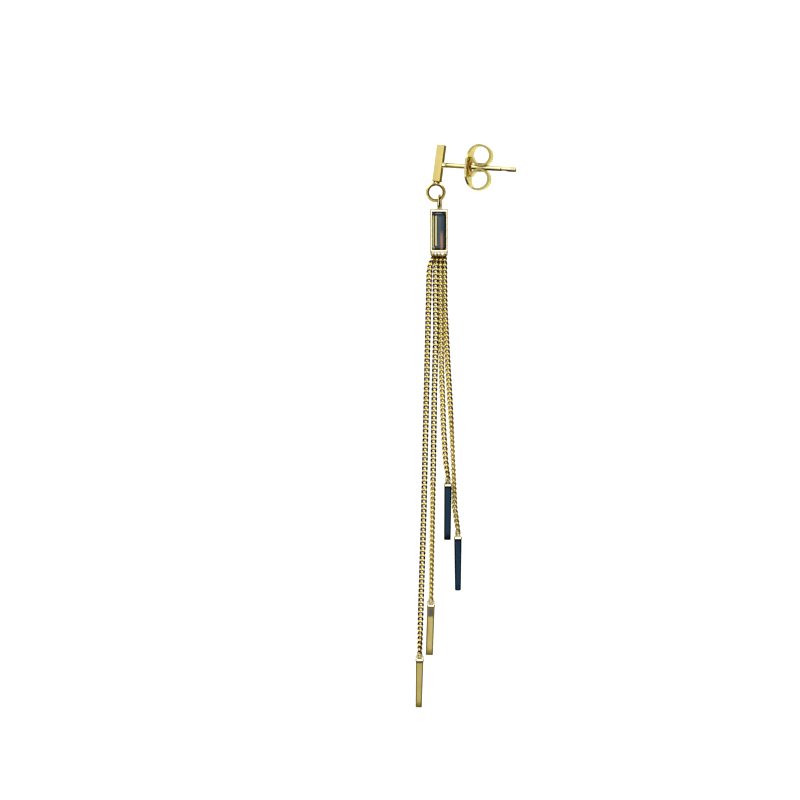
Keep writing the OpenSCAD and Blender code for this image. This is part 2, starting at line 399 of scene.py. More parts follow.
def soft_ended(half: float, low: float, high: float, edge: float, steps: Rows) -> Array:
    """Rows for oblong_bar of a square bar whose two ends turn over softly and alike.

    Args:
        half: Half the bar's side.
        low: Height of its bottom.
        high: Height of its top.
        edge: Width of its soft edges.
        steps: From each end inwards, a row's inset from the side and its distance from the end, both
            as shares of the edge, and its corner radius.

    Returns:
        The rows, from the bottom up.
    """
    inset, inwards, radius = np.array(steps).T
    side = half - edge * inset
    bottom = np.stack([side, side, radius, low + edge * inwards], axis=1)
    top = np.stack([side, side, radius, high - edge * inwards], axis=1)
    return np.concatenate([bottom, top[::-1]])


class NodeBook:
    """Adds shader nodes to one material and joins them up."""

    def __init__(self, name: str) -> None:
        """Starts a material with a plain principled shader.

        Args:
            name: The material's name.
        """
        self.material = bpy.data.materials.new(name)
        self.material.use_nodes = True
        self.tree = self.material.node_tree
        self.shader = self.tree.nodes["Principled BSDF"]

    def add(self, kind: str, **options: object) -> bpy.types.Node:
        """Adds a node and sets its options.

        Args:
            kind: The node's type.
            options: Options by their name in code.

        Returns:
            The node.
        """
        node = self.tree.nodes.new(kind)
        for name, value in options.items():
            setattr(node, name, value)
        return node

    def link(self, source: Socket, target: Socket) -> None:
        """Joins an output to an input."""
        self.tree.links.new(source, target)

    def feed(self, source: Socket, name: str) -> None:
        """Joins an output to a named input of the shader."""
        self.link(source, self.shader.inputs[name])

    def fix(self, values: dict[str, float | tuple[float, ...]]) -> None:
        """Sets named inputs of the shader to one value all over the surface."""
        for name, value in values.items():
            self.shader.inputs[name].default_value = value

    def mark(self, name: str) -> Socket:
        """Reads a named mark of the surface's points."""
        return self.add("ShaderNodeAttribute", attribute_name=name).outputs["Fac"]

    def noise(self, scale: Colour, lean: float, detail: float) -> Socket:
        """Noise in object coordinates, stretched along a leaning upright.

        Args:
            scale: Repeats a metre along each axis.
            lean: Degrees by which the grain leans from upright, its top towards +X.
            detail: Octaves of the noise.

        Returns:
            The noise's value, around 0.5.
        """
        place = self.add("ShaderNodeTexCoord").outputs["Object"]
        mapping = self.add("ShaderNodeMapping", vector_type="TEXTURE")
        mapping.inputs["Rotation"].default_value = (0, math.radians(lean), 0)
        mapping.inputs["Scale"].default_value = tuple(1 / value for value in scale)
        grain = self.add("ShaderNodeTexNoise")
        grain.inputs["Scale"].default_value = 1.0
        grain.inputs["Detail"].default_value = detail
        self.link(place, mapping.inputs["Vector"])
        self.link(mapping.outputs["Vector"], grain.inputs["Vector"])
        return grain.outputs["Fac"]

    def ranged(
        self, value: Socket, low: float, high: float, start: float = 0.3, end: float = 0.7
    ) -> Socket:
        """Spreads the stretch of a value from start to end over a range, and holds it beyond.

        Args:
            value: The value. Noise keeps mostly to the stretch from 0.3 to 0.7.
            low: Result at the start.
            high: Result at the end.
            start: Value at which the range starts.
            end: Value at which it ends.

        Returns:
            The spread value.
        """
        node = self.add("ShaderNodeMapRange")
        for number, setting in enumerate([start, end, low, high], start=1):
            node.inputs[number].default_value = setting
        self.link(value, node.inputs[0])
        return node.outputs[0]

    def window(self, axis: int, places: tuple[float, float, float, float]) -> Socket:
        """Value that rises from 0 to 1 and falls again along one axis of the object.

        Args:
            axis: X, Y or Z.
            places: Where the rise starts and ends and the fall starts and ends, in millimetres.

        Returns:
            The value.
        """
        place = self.add("ShaderNodeSeparateXYZ")
        self.link(self.add("ShaderNodeTexCoord").outputs["Object"], place.inputs[0])
        start, full, late, end = (value * MM for value in places)
        rise = self.ranged(place.outputs[axis], 0, 1, start, full)
        return self.times(rise, self.ranged(place.outputs[axis], 1, 0, late, end))

    def times(self, first: Socket, second: Socket) -> Socket:
        """Multiplies two values.

        Args:
            first: One value.
            second: The other value.

        Returns:
            Their product.
        """
        product = self.add("ShaderNodeMath", operation="MULTIPLY")
        self.link(first, product.inputs[0])
        self.link(second, product.inputs[1])
        return product.outputs[0]

    def mixed(self, share: Socket, first: Socket | Colour, second: Socket | Colour) -> Socket:
        """Mixes two colours, each given as a colour or as an output.

        Args:
            share: Share of the second one.
            first: Colour at a share of 0.
            second: Colour at a share of 1.

        Returns:
            The mixed colour.
        """
        node = self.add("ShaderNodeMix", data_type="RGBA")
        self.link(share, node.inputs["Factor"])
        for socket, value in ((node.inputs[6], first), (node.inputs[7], second)):
            if isinstance(value, tuple):
                socket.default_value = (*value, 1)
            else:
                self.link(value, socket)
        return node.outputs[2]

    def bump(self, height: Socket, depth: float) -> None:
        """Lets a height dent the surface.

        Args:
            height: Height from 0 to 1.
            depth: Depth between the two, in metres.
        """
        node = self.add("ShaderNodeBump")
        node.inputs["Strength"].default_value = 1.0
        node.inputs["Distance"].default_value = depth
        self.link(height, node.inputs["Height"])
        self.feed(node.outputs["Normal"], "Normal")


@dataclass(frozen=True)
class MetalFinish:
    """A gold surface with its fine grain, and painted shade and dark reflections where marked.

    Attributes:
        name: The material's name.
        face: Colour of open faces.
        warm: Colour that slow patches shift to.
        mid: Colour of half-strength painted shade, where the mark shade is 0.5.
        deep: Colour of full painted shade, where the mark shade is 1.
        band: Colour where the mark band is 1, which on the chains and the nut's star is a painted
            reflection.
        rim: Colour of the metal at grazing angles.
        gloss: Lowest and highest roughness.
        patches: Repeats a metre of the slow patches.
        grain: Repeats a metre of the fine grain along each axis.
        grain_depth: Depth of the grain in metres.
        lean: Degrees by which the grain leans.
        dulling: Share of its colour that a face keeps in the grain's valleys.
        dull_share: How far the grain's valleys take that colour.
    """

    name: str
    face: Colour
    warm: Colour
    mid: Colour
    deep: Colour = srgb(30, 18, 2)
    band: Colour = (0.1, 0.1, 0.12)
    rim: Colour = (0.5, 0.4, 0.14)
    gloss: tuple[float, float] = (0.06, 0.16)
    patches: float = 420
    grain: Colour = (3000, 3000, 3000)
    grain_depth: float = 0.0000012
    lean: float = 0.0
    dulling: float = 0.86
    dull_share: float = 0.35

    def build(self) -> bpy.types.Material:
        """Makes the material.

        The face takes warm patches and dull grain, then the band, and then runs through the mid
        colour to the deep one as the painted shade rises. The rim is deep from half the painted
        shade on.

        Returns:
            The material, with colour, roughness and grain from its nodes.
        """
        book = NodeBook(self.name)
        patches = book.noise((self.patches,) * 3, 0, 2)
        grain = book.noise(self.grain, self.lean, 4)
        # The shade mark paints shade and dark reflections into the colour and the rim.
        shade = book.mark("shade")
        half_shade, full_shade = book.ranged(shade, 0, 1, 0, 0.5), book.ranged(shade, 0, 1, 0.5, 1)
        dulled = tuple(self.dulling * value for value in self.face)
        colour = book.mixed(book.ranged(patches, 0, 1), self.face, self.warm)
        colour = book.mixed(book.ranged(grain, 0, self.dull_share), colour, dulled)
        colour = book.mixed(book.mark("band"), colour, self.band)
        colour = book.mixed(half_shade, colour, self.mid)
        book.feed(book.mixed(full_shade, colour, self.deep), "Base Color")
        book.feed(book.mixed(half_shade, self.rim, self.deep), "Specular Tint")
        book.feed(book.ranged(grain, *self.gloss), "Roughness")
        book.fix({"Metallic": 1.0})
        book.bump(grain, self.grain_depth)
        return book.material


@dataclass(frozen=True)
class StonePatch:
    """A soft-edged upright patch of another colour that paints light or shade on a stone.

    Attributes:
        colour: Its colour.
        across: Where its rise starts and ends and its fall starts and ends along X, in millimetres.
        up: The same along Z.
    """

    colour: Colour
    across: tuple[float, float, float, float]
    up: tuple[float, float, float, float]


@dataclass(frozen=True)
class StoneFinish:
    """A polished dark stone with slow clouds, painted shade at its edges and painted reflections.

    Attributes:
        name: The material's name.
        body: Main colour.
        cloud: Colour of its clouds.
        deep: Colour of full painted shade, where the mark shade is 1.
        stripe: Colour of the painted gold reflection, where its mark is 1.
        clouds: Repeats a metre of the clouds along each axis.
        shine: Specular level, which falls to 0 where the mark shade is 1.
        patches: Patches of painted light and shade, each painted over the one before.
        polish: Repeats a metre of the polish's faint waves.
        polish_depth: Depth of those waves in metres.
        gloss: Lowest and highest roughness.
    """

    name: str
    body: Colour
    cloud: Colour
    deep: Colour
    stripe: Colour
    clouds: Colour
    shine: float
    patches: tuple[StonePatch, ...] = ()
    polish: float = 1500
    polish_depth: float = 0.000001
    gloss: tuple[float, float] = (0.1, 0.2)

    def build(self) -> bpy.types.Material:
        """Makes the material.

        Returns:
            The material, with clouds, painted shade and gold reflection, patches of painted light
            and shade, and a faint waviness of the polish.
        """
        book = NodeBook(self.name)
        clouds = book.noise(self.clouds, 0, 3)
        waves = book.noise((self.polish,) * 3, 0, 2)
        shade = book.mark("shade")
        colour = book.mixed(book.ranged(clouds, 0, 1), self.body, self.cloud)
        colour = book.mixed(shade, colour, self.deep)
        colour = book.mixed(book.mark("stripe"), colour, self.stripe)
        for patch in self.patches:
            share = book.times(book.window(X, patch.across), book.window(Z, patch.up))
            colour = book.mixed(share, colour, patch.colour)
        book.feed(colour, "Base Color")
        book.feed(book.ranged(waves, *self.gloss), "Roughness")
        book.feed(book.ranged(shade, self.shine, 0, 0, 1), "Specular IOR Level")
        book.bump(waves, self.polish_depth)
        return book.material


POLISHED_GOLD = MetalFinish(
    name="polished_gold",
    face=srgb(250, 238, 188),
    warm=srgb(238, 220, 146),
    mid=srgb(150, 124, 30),
    band=srgb(178, 108, 44),
    rim=(0.8, 0.7, 0.4),
)
PALE_GOLD = MetalFinish(
    name="pale_gold",
    face=srgb(255, 249, 224),
    warm=srgb(250, 236, 186),
    mid=srgb(156, 136, 44),
)
# Its band colour is the painted reflection on the star round the bore.
NUT_GOLD = MetalFinish(
    name="nut_gold",
    face=srgb(228, 222, 170),
    warm=srgb(214, 204, 140),
    mid=srgb(158, 138, 54),
    band=srgb(250, 222, 170),
    rim=(0.72, 0.66, 0.34),
    gloss=(0.16, 0.28),
    grain=(2200, 2200, 2200),
    grain_depth=0.0000016,
)
SATIN_GOLD = MetalFinish(
    name="satin_gold",
    face=srgb(232, 214, 138),
    warm=srgb(222, 202, 120),
    mid=srgb(166, 148, 64),
    deep=srgb(60, 48, 8),
    gloss=(0.3, 0.42),
    grain=(9000, 9000, 420),
    grain_depth=0.000004,
    lean=7.9,
)
# Mid and deep colours paint dark reflections on the links; the olive band paints darker reflections.
CHAIN_GOLD = MetalFinish(
    name="chain_gold",
    face=srgb(255, 246, 192),
    warm=srgb(255, 236, 160),
    mid=srgb(132, 76, 4),
    deep=srgb(22, 9, 0),
    band=srgb(248, 236, 132),
    rim=(0.75, 0.62, 0.14),
    gloss=(0.08, 0.2),
    grain=(2600, 2600, 2600),
    grain_depth=0.000001,
)
CHAMPAGNE_GOLD = MetalFinish(
    name="champagne_gold",
    face=srgb(166, 152, 96),
    warm=srgb(154, 140, 84),
    mid=srgb(112, 98, 30),
    deep=srgb(50, 38, 6),
    band=srgb(78, 78, 76),
    rim=(0.5, 0.4, 0.16),
    gloss=(0.34, 0.46),
    grain=(7000, 7000, 500),
    grain_depth=0.000003,
    lean=1.5,
)
# Painted light on the smoky stone: a pink-brown reflection low on the right of its table, a dark
# shadow along its top and a pale highlight line across that shadow.
PAINTED_PINK_REFLECTION = StonePatch(srgb(150, 108, 80), (-1.99, -1.9, -1.68, -1.58), (-12.2, -11.9, -9.8, -8.9))
PAINTED_TOP_SHADOW = StonePatch(srgb(20, 26, 42), (-3.2, -3.1, -1.2, -1.1), (-6.95, -6.82, -6.3, -6.2))
PAINTED_TOP_HIGHLIGHT = StonePatch(srgb(150, 156, 160), (-2.8, -2.5, -1.9, -1.6), (-6.66, -6.6, -6.55, -6.49))
SMOKY_STONE = StoneFinish(
    name="smoky_stone",
    body=srgb(36, 58, 66),
    cloud=srgb(54, 68, 76),
    deep=srgb(8, 10, 18),
    stripe=srgb(206, 198, 140),
    clouds=(900, 900, 260),
    shine=0.2,
    patches=(PAINTED_PINK_REFLECTION, PAINTED_TOP_SHADOW, PAINTED_TOP_HIGHLIGHT),
)
# Its stripe colour is a painted reflection of gold along bar 3's left edge.
NAVY_STONE = StoneFinish(
    name="navy_stone",
    body=srgb(2, 32, 54),
    cloud=srgb(14, 44, 64),
    deep=srgb(1, 2, 5),
    stripe=srgb(214, 186, 90),
    clouds=(1400, 1400, 240),
    shine=0.05,
)


def put(name: str, data: bpy.types.ID) -> bpy.types.Object:
    """Makes an object of some data and puts it into the scene.

    Args:
        name: The object's name.
        data: Its mesh, light or camera.

    Returns:
        The object.
    """
    made = bpy.data.objects.new(name, data)
    bpy.context.scene.collection.objects.link(made)
    return made


def face_outwards(mesh: bpy.types.Mesh) -> None:
    """Turns every closed part's faces outwards, and an open sheet's faces to one side.

    Args:
        mesh: The mesh.
    """
    work = bmesh.new()
    work.from_mesh(mesh)
    bmesh.ops.recalc_face_normals(work, faces=work.faces[:])
    work.to_mesh(mesh)
    work.free()


def add_piece(
    name: str,
    surface: Surface,
    material: bpy.types.Material,
    body: str,
    slot: str,
    stands_for: tuple[str, ...],
    bevel: float = 0.0,
    wall: float = 0.0,
    sharp: float = SHARP_ANGLE,
) -> None:
    """Puts a surface into a mesh that rides a body and stands for nodes of the frame.

    Args:
        name: The piece's name.
        surface: Its surface, in millimetres and in the frame's axes.
        material: Its material.
        body: The body that it moves with.
        slot: A material slot's name, which is not used.
        stands_for: The frame's nodes that it is shown in place of.
        bevel: Width of the bevel on its edges, in millimetres, or 0 for none.
        wall: Thickness that an open sheet gets, in millimetres, or 0 for none.
        sharp: Angle between faces from which their edge is shown sharp.
    """
    mesh = bpy.data.meshes.new(name)
    mesh.from_pydata((surface.points * MM).tolist(), [], surface.faces)
    for mark in ("shade", "band", "stripe"):
        if mark in surface.marks:
            values = np.clip(surface.marks[mark], 0, 1).astype(np.float32)
            mesh.attributes.new(mark, "FLOAT", "POINT").data.foreach_set("value", values)
    mesh.validate()
    face_outwards(mesh)
    mesh.shade_smooth()
    mesh.set_sharp_from_angle(angle=sharp)
    mesh.materials.append(material)
    piece = put(name, mesh)
    if wall:
        solidify = piece.modifiers.new("wall", "SOLIDIFY")
        solidify.thickness = wall * MM
        solidify.offset = 0
    if bevel:
        edges = piece.modifiers.new("edges", "BEVEL")
        edges.width = bevel * MM
        edges.segments = 2
        edges.limit_method = "ANGLE"
        edges.angle_limit = SHARP_ANGLE
        edges.harden_normals = True
    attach(piece, body)
    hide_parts(*stands_for)
    log.info("%s: %d points, rides %s", name, len(surface.points), body)


@dataclass
class PostLine:
    """The post's direction, which the nut shares.

    Attributes:
        dip: Degrees below level.
        swing: Degrees out of the plane of the drop.
        radius: Half the post's thickness, in millimetres.
    """

    dip: float = 4.84
    swing: float = 18.0
    radius: float = 0.35

    def matrix(self) -> Array:
        """Turns local +X onto the post: dips it about Y, then swings it about Z."""
        return turn(Z, -self.swing) @ turn(Y, self.dip)


@dataclass
class EarStud:
    """Front bar, post and hanging ring, in millimetres.

    Attributes:
        post: Direction and thickness of the post.
        depth: The plane of the drop, behind the post's line.
        bar_side: Side of the square bar.
        bar_length: Length of the bar.
        bar_lean: Degrees by which the bar leans, its top towards +X.
        bar_edge: Width of the bar's soft edges.
        bar_x: Sideways place of the bar's middle.
        bar_z: Height of the bar's middle.
        ring_x: Sideways place of the ring's middle.
        ring_z: Height of the ring's middle.
        ring_outer: Outer diameter of the ring.
        ring_wire: Thickness of the ring's wire.
        post_root: Where the post starts, measured along it like the next places.
        solder_end: Where the solder round it ends.
        solder_radius: Radius of that solder at the root.
        notch_start: Where the notch starts.
        notch_end: Where the notch ends.
        notch_depth: Depth of the notch.
        notch_slope: Length of each of its sloped ends.
        tip: Where the post ends.
        tip_bevel: Width of the round edge at the tip.
        mound_radius: Radius of the ring's solder mound at the bar.
        mound_taper: How much slimmer the mound is at the ring.
        mound_swell: How far its sides swell halfway.
        mound_height: Height of the mound.
        mound_place: Middle of the mound's bottom.
        sides: Points round the post.
    """

    post: PostLine
    depth: float = 0.66
    bar_side: float = 1.1
    bar_length: float = 5.14
    bar_lean: float = 7.9
    bar_edge: float = 0.07
    bar_x: float = -2.10
    bar_z: float = 0.39
    ring_x: float = -2.583
    ring_z: float = -3.625
    ring_outer: float = 2.8
    ring_wire: float = 0.48
    post_root: float = -1.95
    solder_end: float = -1.0
    solder_radius: float = 0.56
    notch_start: float = 6.75
    notch_end: float = 7.6
    notch_depth: float = 0.08
    notch_slope: float = 0.1
    tip: float = 8.88
    tip_bevel: float = 0.12
    mound_radius: float = 0.46
    mound_taper: float = 0.14
    mound_swell: float = 0.05
    mound_height: float = 0.62
    mound_place: Place = (-2.50, 0.72, -2.52)
    sides: int = 40

    def bar(self) -> Surface:
        """Upright bar with soft edges, leaning and turned with the post.

        Returns:
            The bar, with painted shade at both ends and along its right side.
        """
        half, top, edge = self.bar_side / 2, self.bar_length / 2, self.bar_edge
        corner_points = 5
        end_steps = [(1, 0, edge), (0.3, 0.3, edge), (0, 1, edge), (0, 2.5, edge)]
        surface = oblong_bar(soft_ended(half, -top, top, edge, end_steps), corner_points)
        # Painted shade: darker ends and a darker right side.
        end_shade = np.array([0.9, 0.8, 0.6, 0.0, 0.0, 0.3, 0.7, 0.7])
        right = fade(surface.points[:, X], half - edge, 0.7 * edge)
        shade = np.maximum(np.repeat(end_shade, 4 * corner_points), 0.35 * right)
        lean = turn(Z, -self.post.swing) @ turn(Y, self.bar_lean)
        return surface.marked("shade", shade).placed(lean, (self.bar_x, self.depth, self.bar_z))

    def post_profile(self) -> Array:
        """Radius and place along the post, from the root to the tip.

        The solder falls from its radius to the post's as the square of what is left of its length.
        The notch is a shallow waist with sloped ends, and the tip's edge is a quarter circle.

        Returns:
            Rows of radius and place.
        """
        radius, bevel = self.post.radius, self.tip_bevel
        waist = radius - self.notch_depth
        t = np.linspace(0, 1, 9)
        swell = radius + (self.solder_radius - radius) * (1 - t) ** 2
        solder_place = self.post_root + t * (self.solder_end - self.post_root)
        plain = [
            (radius, 2.0),
            (radius, 4.0),
            (radius, self.notch_start),
            (waist, self.notch_start + self.notch_slope),
            (waist, self.notch_end - self.notch_slope),
            (radius, self.notch_end),
            (radius, self.tip - bevel),
        ]
        bend = np.linspace(0, np.pi / 2, 5)[1:]
        tip_radius = radius - bevel * (1 - np.cos(bend))
        tip_place = self.tip - bevel + bevel * np.sin(bend)
        solder = np.stack([swell, solder_place], axis=1)
        return np.concatenate([solder, plain, np.stack([tip_radius, tip_place], axis=1)])

    def post_piece(self) -> Surface:
        """The post, turned from its profile and laid along its line.

        Returns:
            The post. Its painted shade is a dark ring where the solder ends, and a painted shadow
            on its underside that deepens beyond the ear and pales again at the notch.
        """
        profile = self.post_profile()
        along = np.repeat(profile[:, 1], self.sides)
        down = np.tile(np.cos(full_circle(self.sides)), len(profile))
        painted_solder_shade = peak(along, self.solder_end - 0.1, 0.12)
        notch = peak(along, (self.notch_start + self.notch_end) / 2, 0.3)
        # Painted shadow on the underside
        under = fade(down, 0.15, 0.3) * (0.12 + 0.66 * fade(along, 2, 2))
        shade = np.maximum(0.6 * painted_solder_shade, under * (1 - 0.75 * notch))
        surface = turned(profile, self.sides).marked("shade", shade)
        return surface.placed(self.post.matrix() @ turn(Y, 90), (0, 0, 0))

    def ring(self) -> Surface:
        """Round wire ring, upright in the plane of X and Z.

        Returns:
            The closed wire, with a painted dark reflection as a thin line on its face and painted
            shade on its inner side.
        """
        middle = (self.ring_outer - self.ring_wire) / 2
        ring = upright_ring(middle, self.ring_wire, 72, 32)
        away = ring.marks["away"]
        painted_reflection_line = peak(away, middle - 0.05, 0.09)
        inner = fade(away, middle - 0.04, -0.08)
        ring = ring.marked("shade", np.maximum(painted_reflection_line, 0.6 * inner))
        return ring.moved((self.ring_x, self.depth, self.ring_z))

    def solder(self) -> Surface:
        """Mound between the bar's end and the ring: a smooth narrowing plus half a sine of swell.

        Returns:
            The mound, with painted shade that deepens towards the ring.
        """
        steps, sides = 9, 28
        t = np.linspace(0, 1, steps)
        swell = self.mound_swell * np.sin(np.pi * t)
        radius = self.mound_radius - self.mound_taper * smooth_step(t) + swell
        profile = np.stack([radius, self.mound_height * t], axis=1)
        mound = turned(profile, sides).marked("shade", np.repeat(0.25 + 0.3 * t, sides))
        return mound.placed(turn(Y, self.bar_lean), self.mound_place)

    def build(self, satin: bpy.types.Material, polished: bpy.types.Material) -> None:
        """Adds the bar, the post and the soldered ring.

        Args:
            satin: Material of the front bar.
            polished: Material of the post and ring.
        """
        node, slot = ("ear_stud",), "polished_gold"
        add_piece("stud_front_bar", self.bar(), satin, "stud", slot, node)
        add_piece("stud_post", self.post_piece(), polished, "stud", slot, node)
        ring = joined([self.ring(), self.solder()])
        add_piece("stud_hanging_ring", ring, polished, "stud", slot, node)


@dataclass
class ButterflyNut:
    """Bowed plate with a star-shaped rise round its bore, and two curls, in millimetres.

    The strip is a sheet along a line in the plane of the post and the upright: a bowed curve for
    each half of the plate, then a curl that ends on the post. Places along the post are called u,
    and heights above its line v.

    Attributes:
        post: Direction and thickness of the post.
        wall: Thickness of the sheet.
        plate_front: Place of the plate's front face.
        curl_radius: Outer radius of a curl.
        curl_u: Place of a curl's middle.
        curl_v: Height of a curl's middle.
        curl_open: How much wider the curl is at its start.
        curl_steady: Angle from which on the curl keeps its radius, in degrees.
        curl_start: Angle of the curl's start.
        curl_end: Angle of its end.
        curl_width: Width of the strip at the curls.
        plate_width: Width of the strip at the bore.
        end_round: Length over which the strip's ends are rounded.
        bore_gap: Gap between the bore and the post.
        star_reach: How far the star reaches from the bore's middle.
        star_height: Height to which it would rise there.
        star_power: Power of both directions in its distance, which hollows its sides.
        patch: Half the length of the middle patch of the plate.
    """

    post: PostLine
    wall: float = 0.3
    plate_front: float = 1.85
    curl_radius: float = 1.48
    curl_u: float = 3.84
    curl_v: float = 1.62
    curl_open: float = 0.3
    curl_steady: float = 60.0
    curl_start: float = 150.0
    curl_end: float = -168.0
    curl_width: float = 1.3
    plate_width: float = 2.9
    end_round: float = 0.3
    bore_gap: float = 0.12
    star_reach: float = 1.42
    star_height: float = 0.62
    star_power: float = 0.72
    patch: float = 1.45

    def __post_init__(self) -> None:
        """Works out the upper half's line and measures it.

        The curl is a spiral: its radius shrinks by curl_open over the first part of its turn and
        then stays. The plate is a cubic from the post's line, upright there, to the spiral's start.
        """
        degrees = np.linspace(self.curl_start, self.curl_end, 240)
        angle = np.radians(degrees)
        opening = fade(degrees, self.curl_steady, self.curl_start - self.curl_steady)
        radius = self.curl_radius - self.wall / 2 + self.curl_open * opening
        curl_line = [self.curl_u + radius * np.cos(angle), self.curl_v + radius * np.sin(angle)]
        curl = np.stack(curl_line, axis=1)
        start = np.array([self.plate_front + self.wall / 2, 0])
        chord = np.linalg.norm(curl[0] - start)
        ahead = units(curl[1:2] - curl[0:1])
        t = np.linspace(0, 1, 60)[:-1, None]
        plate = (
            (2 * t**3 - 3 * t**2 + 1) * start
            + (t**3 - 2 * t**2 + t) * chord * np.array([0, 1])
            + (3 * t**2 - 2 * t**3) * curl[0]
            + (t**3 - t**2) * chord * ahead
        )
        self.way = np.concatenate([plate, curl])
        steps = np.linalg.norm(np.diff(self.way, axis=0), axis=1)
        self.along = np.concatenate([[0], np.cumsum(steps)])
        self.plate_run, self.run = self.along[len(plate)], self.along[-1]
        slope = np.gradient(self.way, self.along, axis=0)
        self.out = units(np.stack([-slope[:, 1], slope[:, 0]], axis=1))

    def line(self, s: Array) -> tuple[Array, Array, Array, Array]:
        """Point and outward direction of the strip's line at each distance from the post.

        Args:
            s: Distance along the strip from the middle of the plate, below 0 for the lower half.

        Returns:
            Place along the post, height, and the two parts of the direction towards the outside.
        """
        far, side = np.abs(s), np.sign(s)
        u, v = (np.interp(far, self.along, column) for column in self.way.T)
        out_u, out_v = (np.interp(far, self.along, column) for column in self.out.T)
        return u, side * v, out_u, side * out_v

    def width(self, s: Array) -> Array:
        """Width of the strip: wide at the plate, falling smoothly to the curl, with rounded ends.

        Args:
            s: Distance along the strip.

        Returns:
            Its width there.
        """
        far = np.abs(s)
        wide, slim = 0.9, self.plate_run + 1.0
        body = self.plate_width + (self.curl_width - self.plate_width) * fade(far, wide, slim - wide)
        left = np.clip((self.run - far) / self.end_round, 0, 1)
        return body * (0.8 + 0.2 * np.sqrt(1 - (1 - left) ** 2))

    def sheet(self, s: Array, w: Array) -> tuple[Array, Array]:
        """Bends flat places onto the strip and raises the star round the bore.

        The star's height falls almost straight from the bore to its reach, along a distance that
        adds the powers of both directions, so that it has four points and hollow sides. Where a curl
        passes the post, a groove keeps it a circle's radius away from the post's line.

        Args:
            s: Distance along the strip.
            w: Distance across the strip.

        Returns:
            The points, and the star's share of its height at each.
        """
        u, v, out_u, out_v = self.line(s)
        power = self.star_power
        distance = (np.abs(s) ** power + np.abs(w) ** power) ** (1 / power)
        rise = np.clip(1 - distance / self.star_reach, 0, 1)
        lift = self.star_height * rise**0.8
        clear = self.post.radius + self.wall / 2 + 0.01
        lowest = np.sqrt(np.maximum(clear**2 - w**2, 0))
        raised = np.where(np.abs(s) > self.plate_run, np.maximum(lowest - np.abs(v), 0), 0)
        height = v - lift * out_v + np.sign(s) * raised
        return np.stack([u - lift * out_u, w, height], axis=-1), rise

    def patch_surface(self) -> Surface:
        """The middle of the plate, as rings that change from the bore's circle to the outline.

        Returns:
            The open patch with a round hole, the star's painted reflection marked as band and painted
            shade at the star's rim.
        """
        steps, rings = 16, 22
        side = np.linspace(-1, 1, steps + 1)[:-1]
        ones = np.ones(steps)
        edge_s = np.concatenate([side, ones, -side, -ones]) * self.patch
        edge_w = np.concatenate([-ones, side, ones, -side]) * self.width(edge_s) / 2
        bearing = np.arctan2(edge_w, edge_s)
        bore = self.post.radius + self.bore_gap
        share = np.linspace(0, 1, rings + 1)[:, None]
        s = (1 - share) * bore * np.cos(bearing) + share * edge_s
        w = (1 - share) * bore * np.sin(bearing) + share * edge_w
        points, rise = self.sheet(s, w)
        faces = band_faces(rings + 1, 4 * steps, loop=False)
        flank = rise.ravel()
        # The star's painted reflection, and painted shade at its rim
        star = fade(flank, 0, 0.05) * (1 - fade(flank, 0.55, 0.1))
        rim = peak(flank, 0.07, 0.05) * fade(flank, 0, 0.04)
        return Surface(points.reshape(-1, 3), faces, {"band": star, "shade": 0.35 * rim})

    def strip_surface(self, sign: int) -> Surface:
        """One half of the strip beyond the middle patch.

        Args:
            sign: 1 for the upper half and -1 for the lower.

        Returns:
            The open sheet, with painted shade beside the post and along its edges.
        """
        rows, columns = 96, 16
        s = np.linspace(self.patch, self.run, rows)[:, None] * sign
        w = np.linspace(-0.5, 0.5, columns + 1)[None] * self.width(s)
        points, _ = self.sheet(np.broadcast_to(s, w.shape), w)
        row, column = np.meshgrid(np.arange(rows - 1), np.arange(columns), indexing="ij")
        start = (row * (columns + 1) + column).ravel()
        around = [0, 1, columns + 2, columns + 1] if sign < 0 else [0, columns + 1, columns + 2, 1]
        faces = [tuple(face) for face in (start[:, None] + np.array(around)).tolist()]
        painted_post_shade = np.clip(1 - (np.abs(points[..., Z]) - 0.2) / 0.35, 0, 1)
        painted_post_shade *= np.abs(s) > self.plate_run
        # Painted dark outlines along both edges
        edge = np.zeros(columns + 1)
        edge[[0, -1]] = 0.3
        shade = np.maximum(0.5 * painted_post_shade, edge[None])
        return Surface(points.reshape(-1, 3), faces, {"shade": shade.ravel()})

    def build(self, gold: bpy.types.Material) -> None:
        """Adds the nut as one sheet with a wall and soft edges.

        Args:
            gold: Its material.
        """
        sheet = joined([self.patch_surface(), self.strip_surface(1), self.strip_surface(-1)])
        sheet = merged(sheet).placed(self.post.matrix(), (0, 0, 0))
        name, node, bevel = "butterfly_nut", ("ear_nut",), 0.05
        add_piece(name, sheet, gold, "nut", "polished_gold", node, bevel, self.wall)


